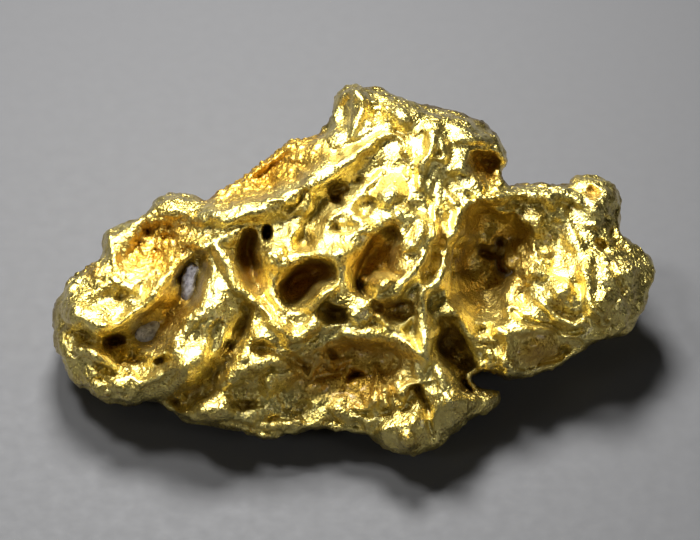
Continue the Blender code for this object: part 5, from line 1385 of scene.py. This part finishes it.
def add_camera(lens):
    """A long lens that looks square at the nugget's leaning face."""
    camera = bpy.data.cameras.new("camera")
    camera.lens = lens
    camera.sensor_width = SENSOR_WIDTH
    camera.clip_start = 0.01
    holder = bpy.data.objects.new("camera", camera)
    aim = (Vector(VIEW_AIM) + Vector(MAP_SHIFT)) * MM
    back = Vector((0.0, -math.cos(LEAN), math.sin(LEAN)))
    holder.location = aim + back * (VIEW_WIDTH * MM * lens / SENSOR_WIDTH)
    holder.rotation_euler = (-back).to_track_quat("-Z", "Y").to_euler()
    bpy.context.scene.collection.objects.link(holder)
    bpy.context.scene.camera = holder


# ---- settings ---------------------------------------------------------------------------------
class NUGGET_PG_gold(bpy.types.PropertyGroup):
    """Settings of the gold."""
    cell: bpy.props.FloatProperty(name="Meshing cell", description="Cell size in mm", default=0.062)
    triangles: bpy.props.IntProperty(name="Triangles", description="Triangles kept", default=195000)
    lump_height: bpy.props.FloatProperty(name="Lumps", description="Height of lumps, mm", default=0.042)
    dent_depth: bpy.props.FloatProperty(name="Dents", description="Depth of dents, mm", default=0.02)
    bead_height: bpy.props.FloatProperty(name="Beads", description="Height of beads, mm", default=0.08)
    flake_height: bpy.props.FloatProperty(name="Flakes", description="Height of flakes, mm", default=0.07)
    grain_height: bpy.props.FloatProperty(name="Grain", description="Height of grain, mm", default=0.032)


class NUGGET_PG_quartz(bpy.types.PropertyGroup):
    """Settings of the quartz."""
    faces: bpy.props.IntProperty(name="Breaks", description="Broken faces on a grain", default=26)
    rings: bpy.props.IntProperty(name="Rings", description="Rings of points on a grain", default=72)


class NUGGET_PG_stage(bpy.types.PropertyGroup):
    """Settings of the studio."""
    lens: bpy.props.FloatProperty(name="Lens", description="Focal length", default=250.0, unit="CAMERA")
    key_power: bpy.props.FloatProperty(name="Key light", description="Watts", default=0.062, unit="POWER")


# ---- operators --------------------------------------------------------------------------------
class NUGGET_OT_gold(bpy.types.Operator):
    """Build the gold in full detail in place of its solid"""
    bl_idname = "object.nugget_gold"
    bl_label = "Gold"

    def execute(self, context):
        settings = context.scene.nugget_gold
        axes, field, face, front = body_field(settings.cell)
        part_pinches(field, 0.02 * settings.cell)
        corner = np.array([axis[0] for axis in axes])
        points, faces = largest_shell(*zero_level(field, corner, settings.cell))
        zones = Zones(face, front)
        points = roughened(points, faces, zones, settings)
        points[:, 2] = np.maximum(points[:, 2], 0.0)
        mesh = thinned(points, faces, settings.triangles)
        spots = mesh_points(mesh)
        # The hollow map for the painted shade, and the amber stain, kept on the points for the finish.
        for name in ("hollow", "amber"):
            set_number(mesh, name, zones.at(name, spots))
        place_mesh(mesh, (spots + MAP_SHIFT) * MM)
        gold = put_in_scene("gold_surface", mesh, native_gold(settings))
        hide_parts("gold_nugget")
        return {"FINISHED"}


class NUGGET_OT_quartz(bpy.types.Operator):
    """Build the two grains of quartz in place of their solids"""
    bl_idname = "object.nugget_quartz"
    bl_label = "Quartz grains"

    def execute(self, context):
        settings = context.scene.nugget_quartz
        finish = milky_quartz()
        for seed, (name, (_, radii, turn, _)) in enumerate(GRAINS.items(), start=3):
            low, high = (np.array(corner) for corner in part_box(name))
            grid = broken_grain(settings.rings, settings.faces, seed)
            turned = grid * np.array(radii) @ grain_axes(turn)
            spots = turned * MM + 0.5 * (low + high)
            mesh = globe_mesh(name + "_surface", spots, settings.rings)
            piece = put_in_scene(name + "_surface", mesh, finish)
            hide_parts(name)
        return {"FINISHED"}


class NUGGET_OT_stage(bpy.types.Operator):
    """Lay the floor and set the lights and the camera"""
    bl_idname = "scene.nugget_stage"
    bl_label = "Studio"

    def execute(self, context):
        settings = context.scene.nugget_stage
        floor = bpy.data.meshes.new("floor")
        corners = [(a * FLOOR_REACH, b * FLOOR_REACH, 0) for a, b in ((-1, -1), (1, -1), (1, 1), (-1, 1))]
        floor.from_pydata(corners, [], [(0, 1, 2, 3)])
        floor.materials.append(pale_floor())
        board = bpy.data.objects.new("floor", floor)
        context.scene.collection.objects.link(board)
        for name, place, size, share in LIGHTS:
            soft_light(name, place, size, settings.key_power * share)
        world = bpy.data.worlds.new("studio")
        world.use_nodes = True
        backdrop = world.node_tree.nodes["Background"]
        backdrop.inputs["Color"].default_value = linear(WORLD_COLOUR)
        backdrop.inputs["Strength"].default_value = WORLD_STRENGTH
        context.scene.world = world
        context.scene.view_settings.view_transform = "Standard"
        add_camera(settings.lens)
        return {"FINISHED"}


class NUGGET_PT_pieces(bpy.types.Panel):
    """Lists the nugget's pieces"""
    bl_label = "Gold nugget"
    bl_idname = "NUGGET_PT_pieces"
    bl_space_type = "VIEW_3D"
    bl_region_type = "UI"
    bl_category = "Nugget"

    def draw(self, context):
        for operator in OPERATORS:
            self.layout.operator(operator.bl_idname)


SETTINGS = {
    "nugget_gold": NUGGET_PG_gold,
    "nugget_quartz": NUGGET_PG_quartz,
    "nugget_stage": NUGGET_PG_stage,
}
OPERATORS = (NUGGET_OT_gold, NUGGET_OT_quartz, NUGGET_OT_stage)


def register():
    for name, group in SETTINGS.items():
        bpy.utils.register_class(group)
        setattr(bpy.types.Scene, name, bpy.props.PointerProperty(type=group))
    for kind in (*OPERATORS, NUGGET_PT_pieces):
        bpy.utils.register_class(kind)


def unregister():
    for kind in (NUGGET_PT_pieces, *reversed(OPERATORS)):
        bpy.utils.unregister_class(kind)
    for name, group in SETTINGS.items():
        delattr(bpy.types.Scene, name)
        bpy.utils.unregister_class(group)


def main():
    register()
    bpy.ops.object.nugget_gold()
    bpy.ops.object.nugget_quartz()
    bpy.ops.scene.nugget_stage()


if __name__ == "__main__":
    main()
